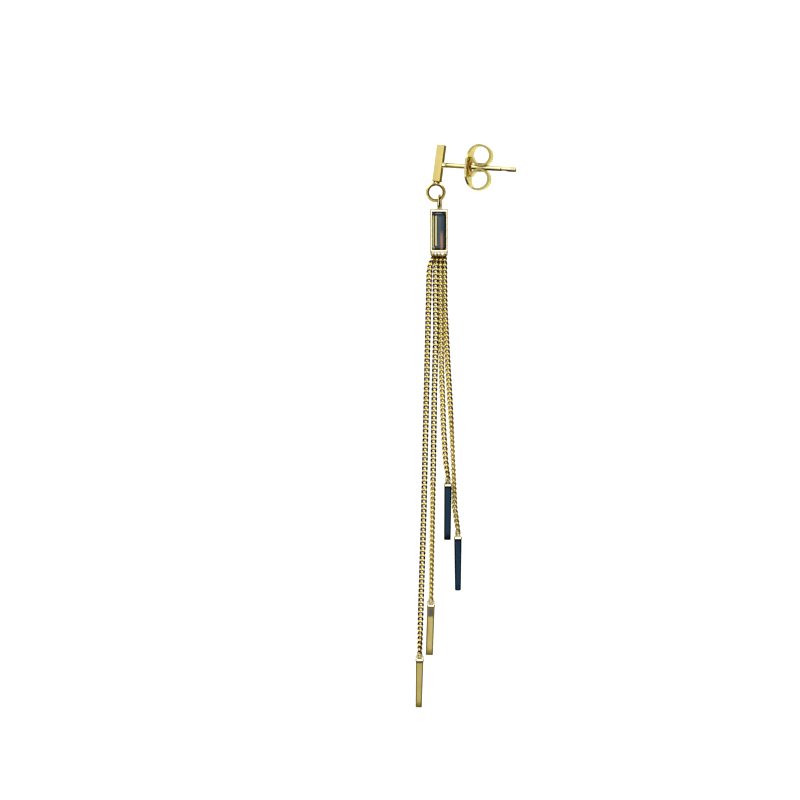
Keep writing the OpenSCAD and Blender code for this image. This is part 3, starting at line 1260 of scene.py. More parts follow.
@dataclass
class BoxedStone:
    """Bail, box, rail and stone, in millimetres.

    Attributes:
        depth: The plane of the drop, behind the post's line.
        case_x: Sideways place of the box.
        case_top: Height of its top.
        box_width: Width of the box.
        box_depth: Depth of the box.
        box_height: Height of the box.
        side_wall: Thickness of its left and right walls.
        rim_top: Width of its rim at the top.
        rim_bottom: Width of its rim at the bottom.
        pocket: Depth of its pocket.
        edge: Width of its soft edges.
        stone_gap: Gap round the stone.
        stone_corner: Size of the stone's cut corners at its girdle.
        bail_x: Sideways place of the bail.
        bail_turn: Degrees by which the bail shows its open side to the front.
        bail_top: Height of the bail's top.
        bail_sink: How deep the bail sits in the box.
        bail_wire: Thickness of the bail's wire at the ring.
        bail_flank: How much thicker the wire is below the ring.
        bail_width: Width of the bail from front to back.
        rail_wire: Thickness of the rail's wire.
        rail_drop: Depth of the rail below the box.
        rail_half: Half the length of the rail's centre line.
        rail_bend: Radius of the rail's bends.
    """

    depth: float = 0.66
    case_x: float = -2.139
    case_top: float = -6.0
    box_width: float = 2.5
    box_depth: float = 1.7
    box_height: float = 5.97
    side_wall: float = 0.28
    rim_top: float = 0.375
    rim_bottom: float = 0.33
    pocket: float = 1.2
    edge: float = 0.13
    stone_gap: float = 0.04
    stone_corner: float = 0.26
    bail_x: float = -2.05
    bail_turn: float = 15.0
    bail_top: float = -3.859
    bail_sink: float = 0.08
    bail_wire: float = 0.28
    bail_flank: float = 0.1
    bail_width: float = 1.7
    rail_wire: float = 0.24
    rail_drop: float = 0.5
    rail_half: float = 1.095
    rail_bend: float = 0.28

    @property
    def rail_z(self) -> float:
        """Height of the rail's middle."""
        return self.case_top - self.box_height - self.rail_drop

    def box(self) -> Surface:
        """The box as one skin: over its back, along its sides, over the front rim, into the pocket.

        Each section is a rounded rectangle in the plane of X and Z. Its size and its depth follow
        the wall, and the rims turn over in quarter circles.

        Returns:
            The closed surface, with painted shade on the pocket's inner walls and on the rim's edges.
        """
        half_w, half_h = self.box_width / 2, self.box_height / 2
        front, back = -self.box_depth / 2, self.box_depth / 2
        floor, edge = front + self.pocket, self.edge
        inner_w = half_w - self.side_wall
        inner_h = half_h - (self.rim_top + self.rim_bottom) / 2
        shift = (self.rim_bottom - self.rim_top) / 2
        # Columns: half width, half height, corner radius, depth, shift upwards and painted shade
        rows = np.array(
            [
                (half_w - edge, half_h - edge, 0.1, back, 0, 0.2),
                (half_w - edge * 0.3, half_h - edge * 0.3, 0.14, back - edge * 0.3, 0, 0.2),
                (half_w, half_h, 0.18, back - edge, 0, 0.1),
                (half_w, half_h, 0.18, front + 0.3, 0, 0.1),
                (half_w, half_h, 0.18, front + edge, 0, 0.85),
                (half_w - edge * 0.12, half_h - edge * 0.12, 0.17, front + edge * 0.4, 0, 0.85),
                (half_w - edge * 0.8, half_h - edge * 0.8, 0.14, front + edge * 0.03, 0, 0.8),
                (half_w - edge, half_h - edge, 0.13, front, 0, 0.0),
                (inner_w + 0.09, inner_h + 0.09, 0.1, front, shift, 0.0),
                (inner_w + 0.06, inner_h + 0.06, 0.1, front + 0.01, shift, 0.8),
                (inner_w, inner_h, 0.07, front + 0.07, shift, 0.95),
                (inner_w, inner_h, 0.07, front + 0.25, shift, 0.95),
                (inner_w, inner_h, 0.07, floor, shift, 0.9),
            ]
        )
        corner_points = 6
        outline = rounded_oblong(rows[:, 0:2], rows[:, 2], corner_points)
        x, z = outline[..., 0], outline[..., 1] + rows[:, 4:5]
        points = np.stack([x, np.broadcast_to(rows[:, 3:4], x.shape), z], axis=2)
        surface = loft(points).marked("shade", np.repeat(rows[:, 5], 4 * corner_points))
        return surface.moved((self.case_x, self.depth, self.case_top - half_h))

    def bail(self) -> Surface:
        """Wire oval: two half circles joined by straight sides, seen almost from its edge.

        The wire swells below the ring that it hangs on. One half of its line is the other, turned
        by half a circle. Its painted shade darkens the slit between its two sides and its outline.

        Returns:
            The closed wire.
        """
        middle = (self.bail_width - self.bail_wire) / 2
        low = self.case_top - self.bail_sink + self.bail_width / 2
        high = self.bail_top - self.bail_width / 2
        arc = np.linspace(0, np.pi, 19)
        down = np.linspace(0, 1, 8)[1:-1]
        bend = np.stack([middle * np.cos(arc), high + middle * np.sin(arc)], axis=1)
        side = np.stack([np.full(len(down), -middle), high + down * (low - high)], axis=1)
        half = np.concatenate([bend, side])
        flat = np.concatenate([half, np.array([0, low + high]) - half])
        swell = fade(flat[:, 1], self.bail_top - 0.55, -0.3)
        wire = wire_loop(upright(*flat.T), (self.bail_wire + self.bail_flank * swell) / 2, 24)
        wire = wire.placed(turn(Z, 90 - self.bail_turn), (self.bail_x, self.depth, 0))
        aside, height = np.abs(wire.points[:, X] - self.bail_x), wire.points[:, Z]
        open_part = fade(height, self.bail_top - 0.3, -0.15) * fade(height, self.case_top + 0.3, 0.15)
        painted_slit_shade = open_part * fade(aside, 0.2, -0.06)
        return wire.marked("shade", np.maximum(painted_slit_shade, 0.55 * fade(aside, 0.24, 0.05)))

    def bail_solder(self) -> Surface:
        """Mound round the bail's foot, whose radius falls in a smooth step.

        Returns:
            The closed mound on the box.
        """
        foot, taper, sunk, height = 0.6, 0.42, 0.06, 0.4
        t = np.linspace(0, 1, 9)
        profile = np.stack([foot - taper * smooth_step(t), height * t - sunk], axis=1)
        # A light painted shade all over
        mound = turned(profile, 28).marked("shade", 0.1)
        return mound.moved((self.bail_x, self.depth, self.case_top))

    def rail(self) -> Surface:
        """Wire under the box that the chains ride on, bent down at both ends in quarter circles.

        Returns:
            The closed wire, its ends inside the box, with painted shade along its level part.
        """
        half, bend = self.rail_half, self.rail_bend
        angle = np.linspace(0, np.pi / 2, 9)
        corner = np.stack([bend - half - bend * np.cos(angle), bend - bend * np.sin(angle)], axis=1)
        left = np.concatenate([[[-half, self.rail_drop + 0.05]], corner])
        flat = np.concatenate([left, left[::-1] * np.array([-1, 1])])
        wire = wire_path(upright(*flat.T), self.rail_wire / 2, (0, 1, 0), 16)
        wire = wire.marked("shade", 0.3 + 0.5 * fade(wire.points[:, Z], 0.35, -0.3))
        return wire.moved((self.case_x, self.depth, self.rail_z))

    def stone(self) -> Surface:
        """Long step-cut stone: a girdle, two steps of facets and a table, with cut corners.

        Returns:
            The closed stone. Marks give a painted reflection of gold on its left facets and painted
            shade at its edges.
        """
        half_w = self.box_width / 2 - self.side_wall - self.stone_gap
        half_h = (self.box_height - self.rim_top - self.rim_bottom) / 2 - self.stone_gap
        front = -self.box_depth / 2
        back = front + self.pocket - self.stone_gap
        # Columns: inset of a facet's edge, and its depth
        facets = np.array([(0, front + 0.38), (0.26, front + 0.25), (0.66, front + 0.17)])
        # Columns: inset, painted gold reflection at the left, and painted shade at the left, right,
        # top and bottom
        rows = np.array(
            [
                (0.00, 0.0, 1.0, 1.0, 1.0, 1.0),
                (0.00, 0.7, 0.2, 1.0, 1.0, 1.0),
                (0.02, 1.0, 0.0, 1.0, 1.0, 1.0),
                (0.08, 1.0, 0.0, 1.0, 1.0, 1.0),
                (0.15, 1.0, 0.0, 0.6, 0.3, 0.5),
                (0.20, 1.0, 0.0, 0.2, 0.0, 0.0),
                (0.23, 0.0, 1.0, 0.0, 0.0, 0.0),
                (0.38, 0.0, 1.0, 0.0, 0.0, 0.0),
                (0.41, 1.0, 0.0, 0.0, 0.0, 0.0),
                (0.58, 1.0, 0.0, 0.0, 0.0, 0.0),
                (0.62, 0.0, 0.7, 0.0, 0.0, 0.0),
                (0.66, 0.0, 0.6, 0.0, 0.0, 0.0),
                (0.76, 0.0, 0.4, 0.0, 0.0, 0.0),
                (0.80, 0.0, 0.0, 0.0, 0.0, 0.0),
            ]
        )
        inset, gold, left, right, top, bottom = rows.T
        depth = read_table(facets, inset)
        depth[0] = back
        wide, tall = half_w - inset, half_h - inset
        cut = self.stone_corner * (1 - 0.9 * inset)
        slim, short = wide - cut, tall - cut
        x = np.stack([wide, wide, slim, -slim, -wide, -wide, -slim, slim], axis=1)
        z = np.stack([-short, short, tall, tall, short, -short, -tall, -tall], axis=1)
        points = np.stack([x, np.broadcast_to(depth, x.shape), z], axis=2)
        shade = np.stack([right, right, top, top, left, left, bottom, bottom], axis=1)
        stripe = gold[:, None] * np.array([0, 0, 0, 0, 1, 1, 0, 0])
        surface = loft(points).marked("shade", shade.ravel()).marked("stripe", stripe.ravel())
        middle = self.case_top - self.rim_top - self.stone_gap - half_h
        return surface.moved((self.case_x, self.depth, middle))

    def build(self, polished: bpy.types.Material, smoky: bpy.types.Material) -> None:
        """Adds the case with its bail and rail, and the stone.

        Args:
            polished: Material of the case.
            smoky: Material of the stone.
        """
        case = joined([self.box(), self.bail(), self.bail_solder(), self.rail()])
        add_piece("stone_case", case, polished, "drop", "polished_gold", ("pendant_case",))
        stone = self.stone()
        add_piece("step_cut_stone", stone, smoky, "drop", "smoky_stone", ("pendant_stone",))


@dataclass(frozen=True)
class CurbLink:
    """One twisted link of a curb chain, in millimetres.

    Attributes:
        reach: Half the length of its centre line.
        spread: Half the width of its centre line.
        twist: How far its sides lean out of its flat.
        wire: Thickness of its wire.
        quarter: Angles of the centre line's points in its first quarter, in degrees.
        sides: Points round the wire.
        ridge: Share of the marks' depth that the wire's outermost line keeps.
    """

    reach: float = 0.465
    spread: float = 0.27
    twist: float = 0.16
    wire: float = 0.315
    quarter: tuple[float, ...] = (0, 18, 36, 62)
    sides: int = 5
    ridge: float = 0.78

    def surface(self) -> Surface:
        """Oval whose sides lean out of its flat: the sine of twice the angle, times the twist.

        Returns:
            The closed wire, upright, with the flat of the chain in the plane of X and Z. Its left
            and right sides and its bends are marked for painted shade and dark reflections.
        """
        start = np.array(self.quarter)
        half = np.concatenate([start, [90], 180 - start[:0:-1]])
        angle = np.radians(np.concatenate([half, half + 180]))
        lean = -self.twist * np.sin(2 * angle)
        line = np.stack([self.spread * np.cos(angle), lean, self.reach * np.sin(angle)], axis=1)
        wire = wire_loop(line, self.wire / 2, self.sides)
        side = np.cos(np.repeat(angle, self.sides))
        outwards = np.cos(full_circle(self.sides))
        depth = np.tile(np.where(outwards > 0.9, self.ridge, 1.0), len(angle))
        wire = wire.marked("right", depth * fade(side, 0.8, 0.08))
        wire = wire.marked("left", depth * fade(-side, 0.8, 0.08))
        return wire.marked("bend", fade(np.abs(side), 0.55, -0.5))


@dataclass
class CurbChain:
    """One chain of curb links that hangs from the rail to a bar's eye, in millimetres.

    Attributes:
        name: The piece's name.
        nodes: The frame's nodes that it is shown in place of.
        links: Number of links.
        eye: Sideways place, depth and height of the bar's eye.
        link: The link's shape.
        case: The box, for its rail.
        route: Rows of the drop below the origin, sideways place, depth behind the drop's plane and
            turn of the chain's flat. The first and last drops are worked out, so they are 0.
        painted_shading: Rows of the drop, the depth of painted shade on the links' left sides, right
            sides
        and bends, and the share of olive gold, painted as a darker reflection.
        eye_middle: Radius of the eye's centre line.
        eye_wire: Thickness of the eye's wire.
        slack: Gap that keeps the end links from touching the rail and the eye.
    """

    name: str
    nodes: tuple[str, ...]
    links: int
    eye: Place
    link: CurbLink
    case: BoxedStone
    route: Rows
    painted_shading: Rows
    eye_middle: float = 0.30
    eye_wire: float = 0.22
    slack: float = 0.012

    def drops(self) -> tuple[float, float]:
        """Depths below the origin of the first and the last link's middle.

        The first one hangs on the rail from the inside of its upper bend, and the last one holds the
        eye's upper wire on the inside of its lower bend.

        Returns:
            The two drops.
        """
        hold = self.link.reach - self.link.wire / 2 - self.slack
        first = -(self.case.rail_z + self.case.rail_wire / 2) + hold
        eye_top = self.eye[Z] + self.eye_middle - self.eye_wire / 2
        return first, -eye_top - hold

    def along(self, drop: Array) -> tuple[Array, Array]:
        """Reads the route at some drops, straight between its rows.

        Args:
            drop: The drops.

        Returns:
            The points of the route, and the turn of the chain's flat in degrees.
        """
        route = np.array(self.route)
        route[[0, -1], 0] = self.drops()
        sideways, behind, flat = read_table(route, drop).T
        return np.stack([sideways, self.case.depth + behind, -drop], axis=1), flat

    def surface(self) -> Surface:
        """Places every link on the route, each turned to it.

        A link's upright runs from the route half a step below it to the route half a step above,
        and its flat is turned about that upright.

        Returns:
            All the links as one surface, their painted shade marked as shade and the painted olive
            reflection as band.
        """
        first, last = self.drops()
        drop = np.linspace(first, last, self.links)
        half = (last - first) / (self.links - 1) / 2
        up = units(self.along(drop - half)[0] - self.along(drop + half)[0])
        middle, flat = self.along(drop)
        flat = np.radians(flat)
        level = np.stack([np.cos(flat), np.sin(flat), np.zeros(self.links)], axis=1)
        right = square_to(level, up)
        basis = np.stack([right, np.cross(up, right), up], axis=1)
        shape = self.link.surface()
        points = np.einsum("pi,kij->kpj", shape.points, basis) + middle[:, None]
        starts = np.arange(self.links)[:, None, None] * len(shape.points)
        faces = (starts + np.array(shape.faces)[None]).reshape(-1, 4)
        painted_shading = read_table(np.array(self.painted_shading), drop)
        sides = zip(painted_shading.T, ("left", "right", "bend"))
        shade = sum(depth[:, None] * shape.marks[side] for depth, side in sides)
        surface = Surface(points.reshape(-1, 3), [tuple(face) for face in faces.tolist()])
        surface = surface.marked("shade", shade.ravel())
        return surface.marked("band", np.repeat(painted_shading[:, 3], len(shape.points)))

    def build(self, gold: bpy.types.Material) -> None:
        """Adds the chain.

        Args:
            gold: Its material.
        """
        chain, slot = self.surface(), "chain_gold"
        add_piece(self.name, chain, gold, "drop", slot, self.nodes, sharp=math.pi)


class CapShape(Enum):
    """The three ways in which the caps rise to their eyes."""

    BELL = "bell"
    TENT = "tent"
    LUGS = "lugs"


@dataclass
class CappedBar:
    """A slim bar with its gold cap and eye, in millimetres.

    Attributes:
        number: Number of the chain that it hangs on.
        eye: Sideways place, depth and height of the eye.
        lean: Degrees by which it leans, its foot towards -X.
        length: Length of the bar.
        foot: Side of the bar at its foot.
        shape: How the cap rises to its eye.
        grey_band: Length of the grey band at its top, or 0 for none.
        foot_round: How far the foot's edges are rounded.
        painted_gold_line: Whether its left edge gets a painted reflection of gold as a thin line.
        edge_shade: Depth of painted shade along its edges.
        top_shade: Depth of the painted shadow under its cap.
        side: Side of the bar at its top.
        bevel: Radius of its long edges.
        margins: Distances from the long edges at which their tone starts to fade and ends.
        cap_side: Side of the cap's plate.
        cap_gap: Gap between the bar and the plate.
        cap_plate: Thickness of the plate.
        cap_edge: Width of the plate's soft edges.
        cap_roof: Height of the rise from the plate to the eye.
        eye_outer: Outer diameter of the eye.
        eye_wire: Thickness of the eye's wire.
        eye_sink: How deep the eye sits in the rise.
    """

    number: int
    eye: Place
    lean: float
    length: float
    foot: float
    shape: CapShape
    grey_band: float = 0.0
    foot_round: float = 0.08
    painted_gold_line: bool = False
    edge_shade: float = 0.5
    top_shade: float = 0.8
    side: float = 1.05
    bevel: float = 0.09
    margins: tuple[float, ...] = (0.06, 0.15)
    cap_side: float = 1.16
    cap_gap: float = 0.02
    cap_plate: float = 0.33
    cap_edge: float = 0.07
    cap_roof: float = 0.25
    eye_outer: float = 0.82
    eye_wire: float = 0.22
    eye_sink: float = 0.02

    @property
    def roof_start(self) -> float:
        """Height of the plate's top above the top of the bar."""
        return self.cap_gap + self.cap_plate

    @property
    def eye_middle(self) -> float:
        """Radius of the eye's centre line."""
        return (self.eye_outer - self.eye_wire) / 2

    @property
    def eye_rise(self) -> float:
        """Height of the eye's middle above the top of the bar."""
        return self.roof_start + self.cap_roof + self.eye_middle - self.eye_sink

    def placed(self, surface: Surface) -> Surface:
        """Hangs a surface, whose origin is the top of the bar, under the eye.

        Args:
            surface: The surface.

        Returns:
            The surface, leaning as the bar does.
        """
        matrix = turn(Y, self.lean)
        return surface.placed(matrix, np.array(self.eye) - matrix @ np.array([0, 0, self.eye_rise]))

    def bar(self) -> Surface:
        """The bar: rounded squares that shrink evenly towards the foot, which ends in a soft turn.

        Returns:
            The bar, with painted shade at its top, its edges and its foot, the grey band as band and
            the painted gold reflection as stripe.
        """
        corner_points, foot = 4, self.foot_round
        upper = [0.0, 0.02, 0.06, 0.16, 0.3, self.grey_band, self.grey_band + 0.25, self.length / 2]
        lower = np.linspace(0.6, 1.0, 4) * (self.length - foot)
        heights = np.unique(np.concatenate([upper, lower]))
        bend = np.linspace(0, np.pi / 2, 5)[1:]
        inset = np.concatenate([np.zeros(len(heights)), foot * (1 - np.cos(bend))])
        inset[0] = self.bevel * 0.5
        heights = np.concatenate([heights, self.length - foot + foot * np.sin(bend)])
        half = self.side / 2 + (self.foot - self.side) / 2 * heights / self.length - inset
        rows = np.stack([half, half, np.full(len(half), self.bevel), -heights], axis=1)[::-1]
        surface = oblong_bar(rows, corner_points, self.margins)

        # Eight points stand round each corner, and the third corner is the front left one
        around = 4 * [0, 1, 1, 1, 1, 1, 1, 0]
        down = np.repeat(heights[::-1], len(around))
        # A painted reflection of gold along the front left edge
        gold = np.zeros(len(around))
        if self.painted_gold_line:
            front_left = slice(17, 20)
            gold[front_left] = 1
        # Painted shade along the edges, a painted shadow under the cap and painted shade at the foot
        painted_edge_shade = self.edge_shade * np.tile(around, len(heights))
        painted_cap_shadow = self.top_shade * np.clip((0.26 - down) / 0.1, 0, 1)
        painted_foot_shade = 1.2 * self.edge_shade * np.clip((down - self.length + 0.14) / 0.06, 0, 1)
        band = np.zeros(len(down))
        if self.grey_band:
            band = np.clip((self.grey_band + 0.2 - down) / 0.2, 0, 1)
        surface = surface.marked("stripe", np.tile(gold, len(heights))).marked("band", band)
        shade = np.maximum.reduce([painted_edge_shade, painted_cap_shadow, painted_foot_shade])
        return self.placed(surface.marked("shade", shade))

    def plate(self) -> Surface:
        """Square plate of the cap with soft edges.

        Returns:
            The plate, with painted shade on its corners and its edges.
        """
        half, edge, corner_points = self.cap_side / 2, self.cap_edge, 5
        end_steps = [(1, 0, 0.1), (0.3, 0.3, 0.13), (0, 1, 0.15)]
        rows = soft_ended(half, self.cap_gap, self.roof_start, edge, end_steps)
        plate = oblong_bar(rows, corner_points, (0.07,))
        around = 4 * [0, 1, 1, 1, 1, 1, 0]
        level = np.repeat([0.5, 0.4, 0.1, 0, 0.15, 0.3], len(around))
        return plate.marked("shade", np.maximum(0.5 * np.tile(around, len(rows)), level))

    def lugs(self) -> list[Surface]:
        """Two small upright corners on the plate, leaning slightly outwards.

        Returns:
            The left and the right one.
        """
        # Columns: half width, half depth, corner radius and height above the plate
        rows = [
            (0.15, 0.42, 0.06, -0.05),
            (0.15, 0.40, 0.06, 0.24),
            (0.13, 0.32, 0.06, 0.38),
            (0.07, 0.20, 0.05, 0.46),
        ]
        aside, splay = self.cap_side / 2 - 0.17, 3.0
        lug = oblong_bar(np.array(rows) + np.array([0, 0, 0, self.roof_start]), 4)
        # A light painted shade all over
        lug = lug.marked("shade", 0.2)
        return [lug.placed(turn(Y, sign * splay), (sign * aside, 0, 0)) for sign in (-1, 1)]

    def straps(self) -> list[Surface]:
        """Two flat straps that lean together like a tent, each moved inwards as it rises.

        Returns:
            The left and the right one, with painted shade on them, deeper on their inner faces.
        """
        # Columns: half width, half depth, corner radius and height above the plate
        rows = [
            (0.17, 0.44, 0.05, -0.04),
            (0.14, 0.36, 0.05, 0.30),
            (0.11, 0.26, 0.05, 0.62),
            (0.06, 0.18, 0.04, 0.76),
        ]
        right = oblong_bar(np.array(rows) + np.array([0, 0, 0, self.roof_start]), 4)
        right = right.marked("shade", np.where(right.points[:, X] < 0, 0.85, 0.25))
        inwards = 0.52 * (right.points[:, Z] - self.roof_start)
        right = right.moved(upright(self.cap_side / 2 - 0.18 - inwards, np.zeros(len(inwards))))
        return [right.mirrored(), right]

    def neck(self, wide: float, slim: float, rise: float, power: float = 2) -> Surface:
        """Hollow-sided rise that narrows from a square to a round neck.

        The half width falls as a power of what is left of the height.

        Args:
            wide: Half its width at the bottom.
            slim: Half its width at the top.
            rise: Its height above the plate.
            power: The power.

        Returns:
            The closed rise, with painted shade that deepens towards its top.
        """
        sunk, corner_points = 0.03, 5
        t = np.linspace(0, 1, 8)
        half = slim + (wide - slim) * (1 - t) ** power
        radius = np.minimum(half * (0.2 + 0.8 * t), half * 0.999)
        height = self.roof_start - sunk + (rise + sunk) * t
        neck = oblong_bar(np.stack([half, half, radius, height], axis=1), corner_points)
        return neck.marked("shade", np.repeat(0.1 + 0.35 * t, 4 * corner_points))

    def roof(self) -> Surface:
        """Rise from the plate to the eye: a bell alone, or lugs or a tent's straps round a neck.

        Returns:
            The rise, open for the link where the eye is.
        """
        if self.shape is CapShape.LUGS:
            return joined([*self.lugs(), self.neck(0.40, 0.2, 0.22)])
        if self.shape is CapShape.TENT:
            return joined([*self.straps(), self.neck(0.44, 0.24, 0.25)])
        return self.neck(self.cap_side / 2 - 0.04, 0.28, 0.38, 1.1)

    def eye_ring(self) -> Surface:
        """Round wire eye, upright in the plane of X and Z.

        Returns:
            The closed wire, with painted shade all over that deepens on its inner side.
        """
        ring = upright_ring(self.eye_middle, self.eye_wire, 32, 14)
        ring = ring.marked("shade", 0.3 + 0.6 * fade(ring.marks["away"], self.eye_middle, -0.08))
        return ring.moved((0, 0, self.eye_rise))

    def build(self, stone: bpy.types.Material, gold: bpy.types.Material, slot: str) -> None:
        """Adds the bar and its cap.

        Args:
            stone: Material of the bar.
            gold: Material of the cap.
            slot: The bar's material slot.
        """
        name = f"slim_bar_{self.number}"
        add_piece(name, self.bar(), stone, "drop", slot, (f"bar_{self.number}",))
        cap = self.placed(joined([self.plate(), self.roof(), self.eye_ring()]))
        node = (f"bar_cap_{self.number}",)
        add_piece(f"gold_cap_{self.number}", cap, gold, "drop", "polished_gold", node)


def clouded(name: str, repeats: float, first: Colour, second: Colour) -> NodeBook:
    """Starts a material whose colour drifts between two in slow clouds.

    Args:
        name: The material's name.
        repeats: Repeats a metre of the clouds.
        first: One colour.
        second: The other colour.

    Returns:
        The material's node book.
    """
    book = NodeBook(name)
    clouds = book.noise((repeats,) * 3, 0, 2)
    book.feed(book.mixed(book.ranged(clouds, 0, 1), first, second), "Base Color")
    return book


@dataclass
class Studio:
    """Pale floor that rises into a backdrop, soft lights, dark cards for the metal, and the camera.

    Attributes:
        middle: The point that the camera looks at, in metres like all that follows.
        view_width: What the picture covers at that point.
        distance: From the camera to that point.
        floor_z: Height of the floor.
        floor_half: Half the width of the floor, and its reach to the front.
        back_y: Place of the wall.
        wall_top: Height of the wall's top.
        bend: Radius of the turn between floor and wall.
        sensor: Width of the camera's sensor, in millimetres.
    """

    middle: Vector
    view_width: float = 0.1111
    distance: float = 0.4
    floor_z: float = -0.26
    floor_half: float = 0.9
    back_y: float = 0.45
    wall_top: float = 0.6
    bend: float = 0.12
    sensor: float = 36.0

    def backdrop(self) -> None:
        """Adds the floor, whose back rises in a quarter circle into a wall."""
        angle = np.linspace(0, np.pi / 2, 13)
        bend_y = self.back_y - self.bend + self.bend * np.sin(angle)
        bend_z = self.floor_z + self.bend - self.bend * np.cos(angle)
        y = np.concatenate([[-self.floor_half], bend_y, [self.back_y]])
        z = np.concatenate([[self.floor_z], bend_z, [self.wall_top]])
        line = np.stack([np.zeros(len(y)), y, z], axis=1)
        right = np.array([self.floor_half, 0, 0])
        points = np.stack([line + right, line - right], axis=1).reshape(-1, 3)
        start = np.arange(len(y) - 1) * 2
        faces = np.stack([start, start + 2, start + 3, start + 1], axis=1)
        mesh = bpy.data.meshes.new("studio_floor")
        mesh.from_pydata(points.tolist(), [], faces.tolist())
        mesh.shade_smooth()
        paper = clouded("studio_paper", 30, (0.86, 0.86, 0.86), (0.83, 0.83, 0.83))
        paper.fix({"Roughness": 0.9, "Specular IOR Level": 0.1})
        paper.fix({"Emission Color": (1, 1, 1, 1), "Emission Strength": 0.35})
        mesh.materials.append(paper.material)
        floor = put("studio_floor", mesh)

    def light(self, name: str, place: Place, size: tuple[float, float], glow: float) -> None:
        """Adds a soft area light that looks at the middle.

        Args:
            name: Its name.
            place: Where it stands, from the middle.
            size: Its width and height.
            glow: Brightness of its face.
        """
        lamp = bpy.data.lights.new(name, "AREA")
        lamp.shape = "RECTANGLE"
        lamp.size, lamp.size_y = size
        lamp.energy = glow * math.pi * size[0] * size[1]
        light = put(name, lamp)
        light.location = self.middle + Vector(place)
        light.rotation_euler = (-Vector(place)).to_track_quat("-Z", "Y").to_euler()

    def card(self, name: str, place: Place, size: tuple[float, float]) -> None:
        """Adds a dark card, unseen by the camera, that the polished metal mirrors.

        Args:
            name: Its name.
            place: Where it stands, from the middle, facing it.
            size: Its width and height.
        """
        half_w, half_h = size[0] / 2, size[1] / 2
        turned_to = (-Vector(place)).to_track_quat("Z", "Y")
        corners = [(-half_w, -half_h), (half_w, -half_h), (half_w, half_h), (-half_w, half_h)]
        points = [self.middle + Vector(place) + turned_to @ Vector((*c, 0)) for c in corners]
        mesh = bpy.data.meshes.new(name)
        mesh.from_pydata([tuple(point) for point in points], [], [(0, 1, 2, 3)])
        felt = clouded(name, 40, (0.02, 0.016, 0.006), (0.04, 0.03, 0.01))
        felt.fix({"Roughness": 1.0, "Specular IOR Level": 0.0})
        mesh.materials.append(felt.material)
        card = put(name, mesh)
        card.visible_camera = False
        card.visible_shadow = False
        card.visible_diffuse = False

    def camera(self) -> None:
        """Adds the camera, level and looking along +Y."""
        data = bpy.data.cameras.new("camera")
        data.sensor_width = self.sensor
        data.lens = self.sensor * self.distance / self.view_width
        data.clip_start, data.clip_end = 0.01, 10
        camera = put("camera", data)
        camera.location = self.middle + Vector((0, -self.distance, 0))
        camera.rotation_euler = (math.pi / 2, 0, 0)
        bpy.context.scene.camera = camera

    def world(self) -> None:
        """Sets an even pale surrounding."""
        world = bpy.data.worlds.new("studio_air")
        world.use_nodes = True
        shader = world.node_tree.nodes["Background"]
        shader.inputs["Color"].default_value = (1.0, 0.99, 0.97, 1)
        shader.inputs["Strength"].default_value = 0.85
        bpy.context.scene.world = world
        bpy.context.scene.view_settings.view_transform = "Standard"

    def build(self) -> None:
        """Adds everything round the earring, each light and card by its name, place and size."""
        self.world()
        self.backdrop()
        self.light("front_box", (0, -0.75, 0.02), (0.34, 0.34), 2.2)
        self.light("key_box", (-0.34, -0.34, 0.42), (0.3, 0.3), 3.0)
        self.light("fill_box", (0.2, -0.30, 0.45), (0.26, 0.3), 2.0)
        self.card("card_right", (0.34, -0.34, 0.0), (0.24, 0.8))
        self.card("card_side", (0.40, 0.24, 0.0), (0.26, 0.8))
        self.card("card_left", (-0.40, 0.24, 0.0), (0.26, 0.8))
        self.card("card_low", (0, -0.04, -0.21), (0.7, 0.5))
        self.camera()


def hung_bars() -> list[CappedBar]:
    """The four bars, from left to right.

    Returns:
        Bars 1 and 2, which are pale gold, and bars 3 and 4, which are dark stone.
    """
    left = CappedBar(
        number=1, eye=(-4.824, 0.06, -67.83), lean=1.13, length=6.35, foot=0.88, shape=CapShape.LUGS
    )
    banded = CappedBar(
        number=2,
        eye=(-3.242, 0.46, -60.31),
        lean=1.91,
        length=6.65,
        foot=1.01,
        shape=CapShape.LUGS,
        grey_band=1.2,
        top_shade=0.3,
    )
    tented = CappedBar(
        number=3,
        eye=(-0.907, 0.36, -43.60),
        lean=0.65,
        length=7.40,
        foot=0.96,
        shape=CapShape.TENT,
        painted_gold_line=True,
        edge_shade=1,
    )
    belled = CappedBar(
        number=4,
        eye=(0.493, 1.26, -50.96),
        lean=0.0,
        length=7.12,
        foot=0.84,
        shape=CapShape.BELL,
        foot_round=0.2,
        edge_shade=1,
    )
    return [left, banded, tented, belled]


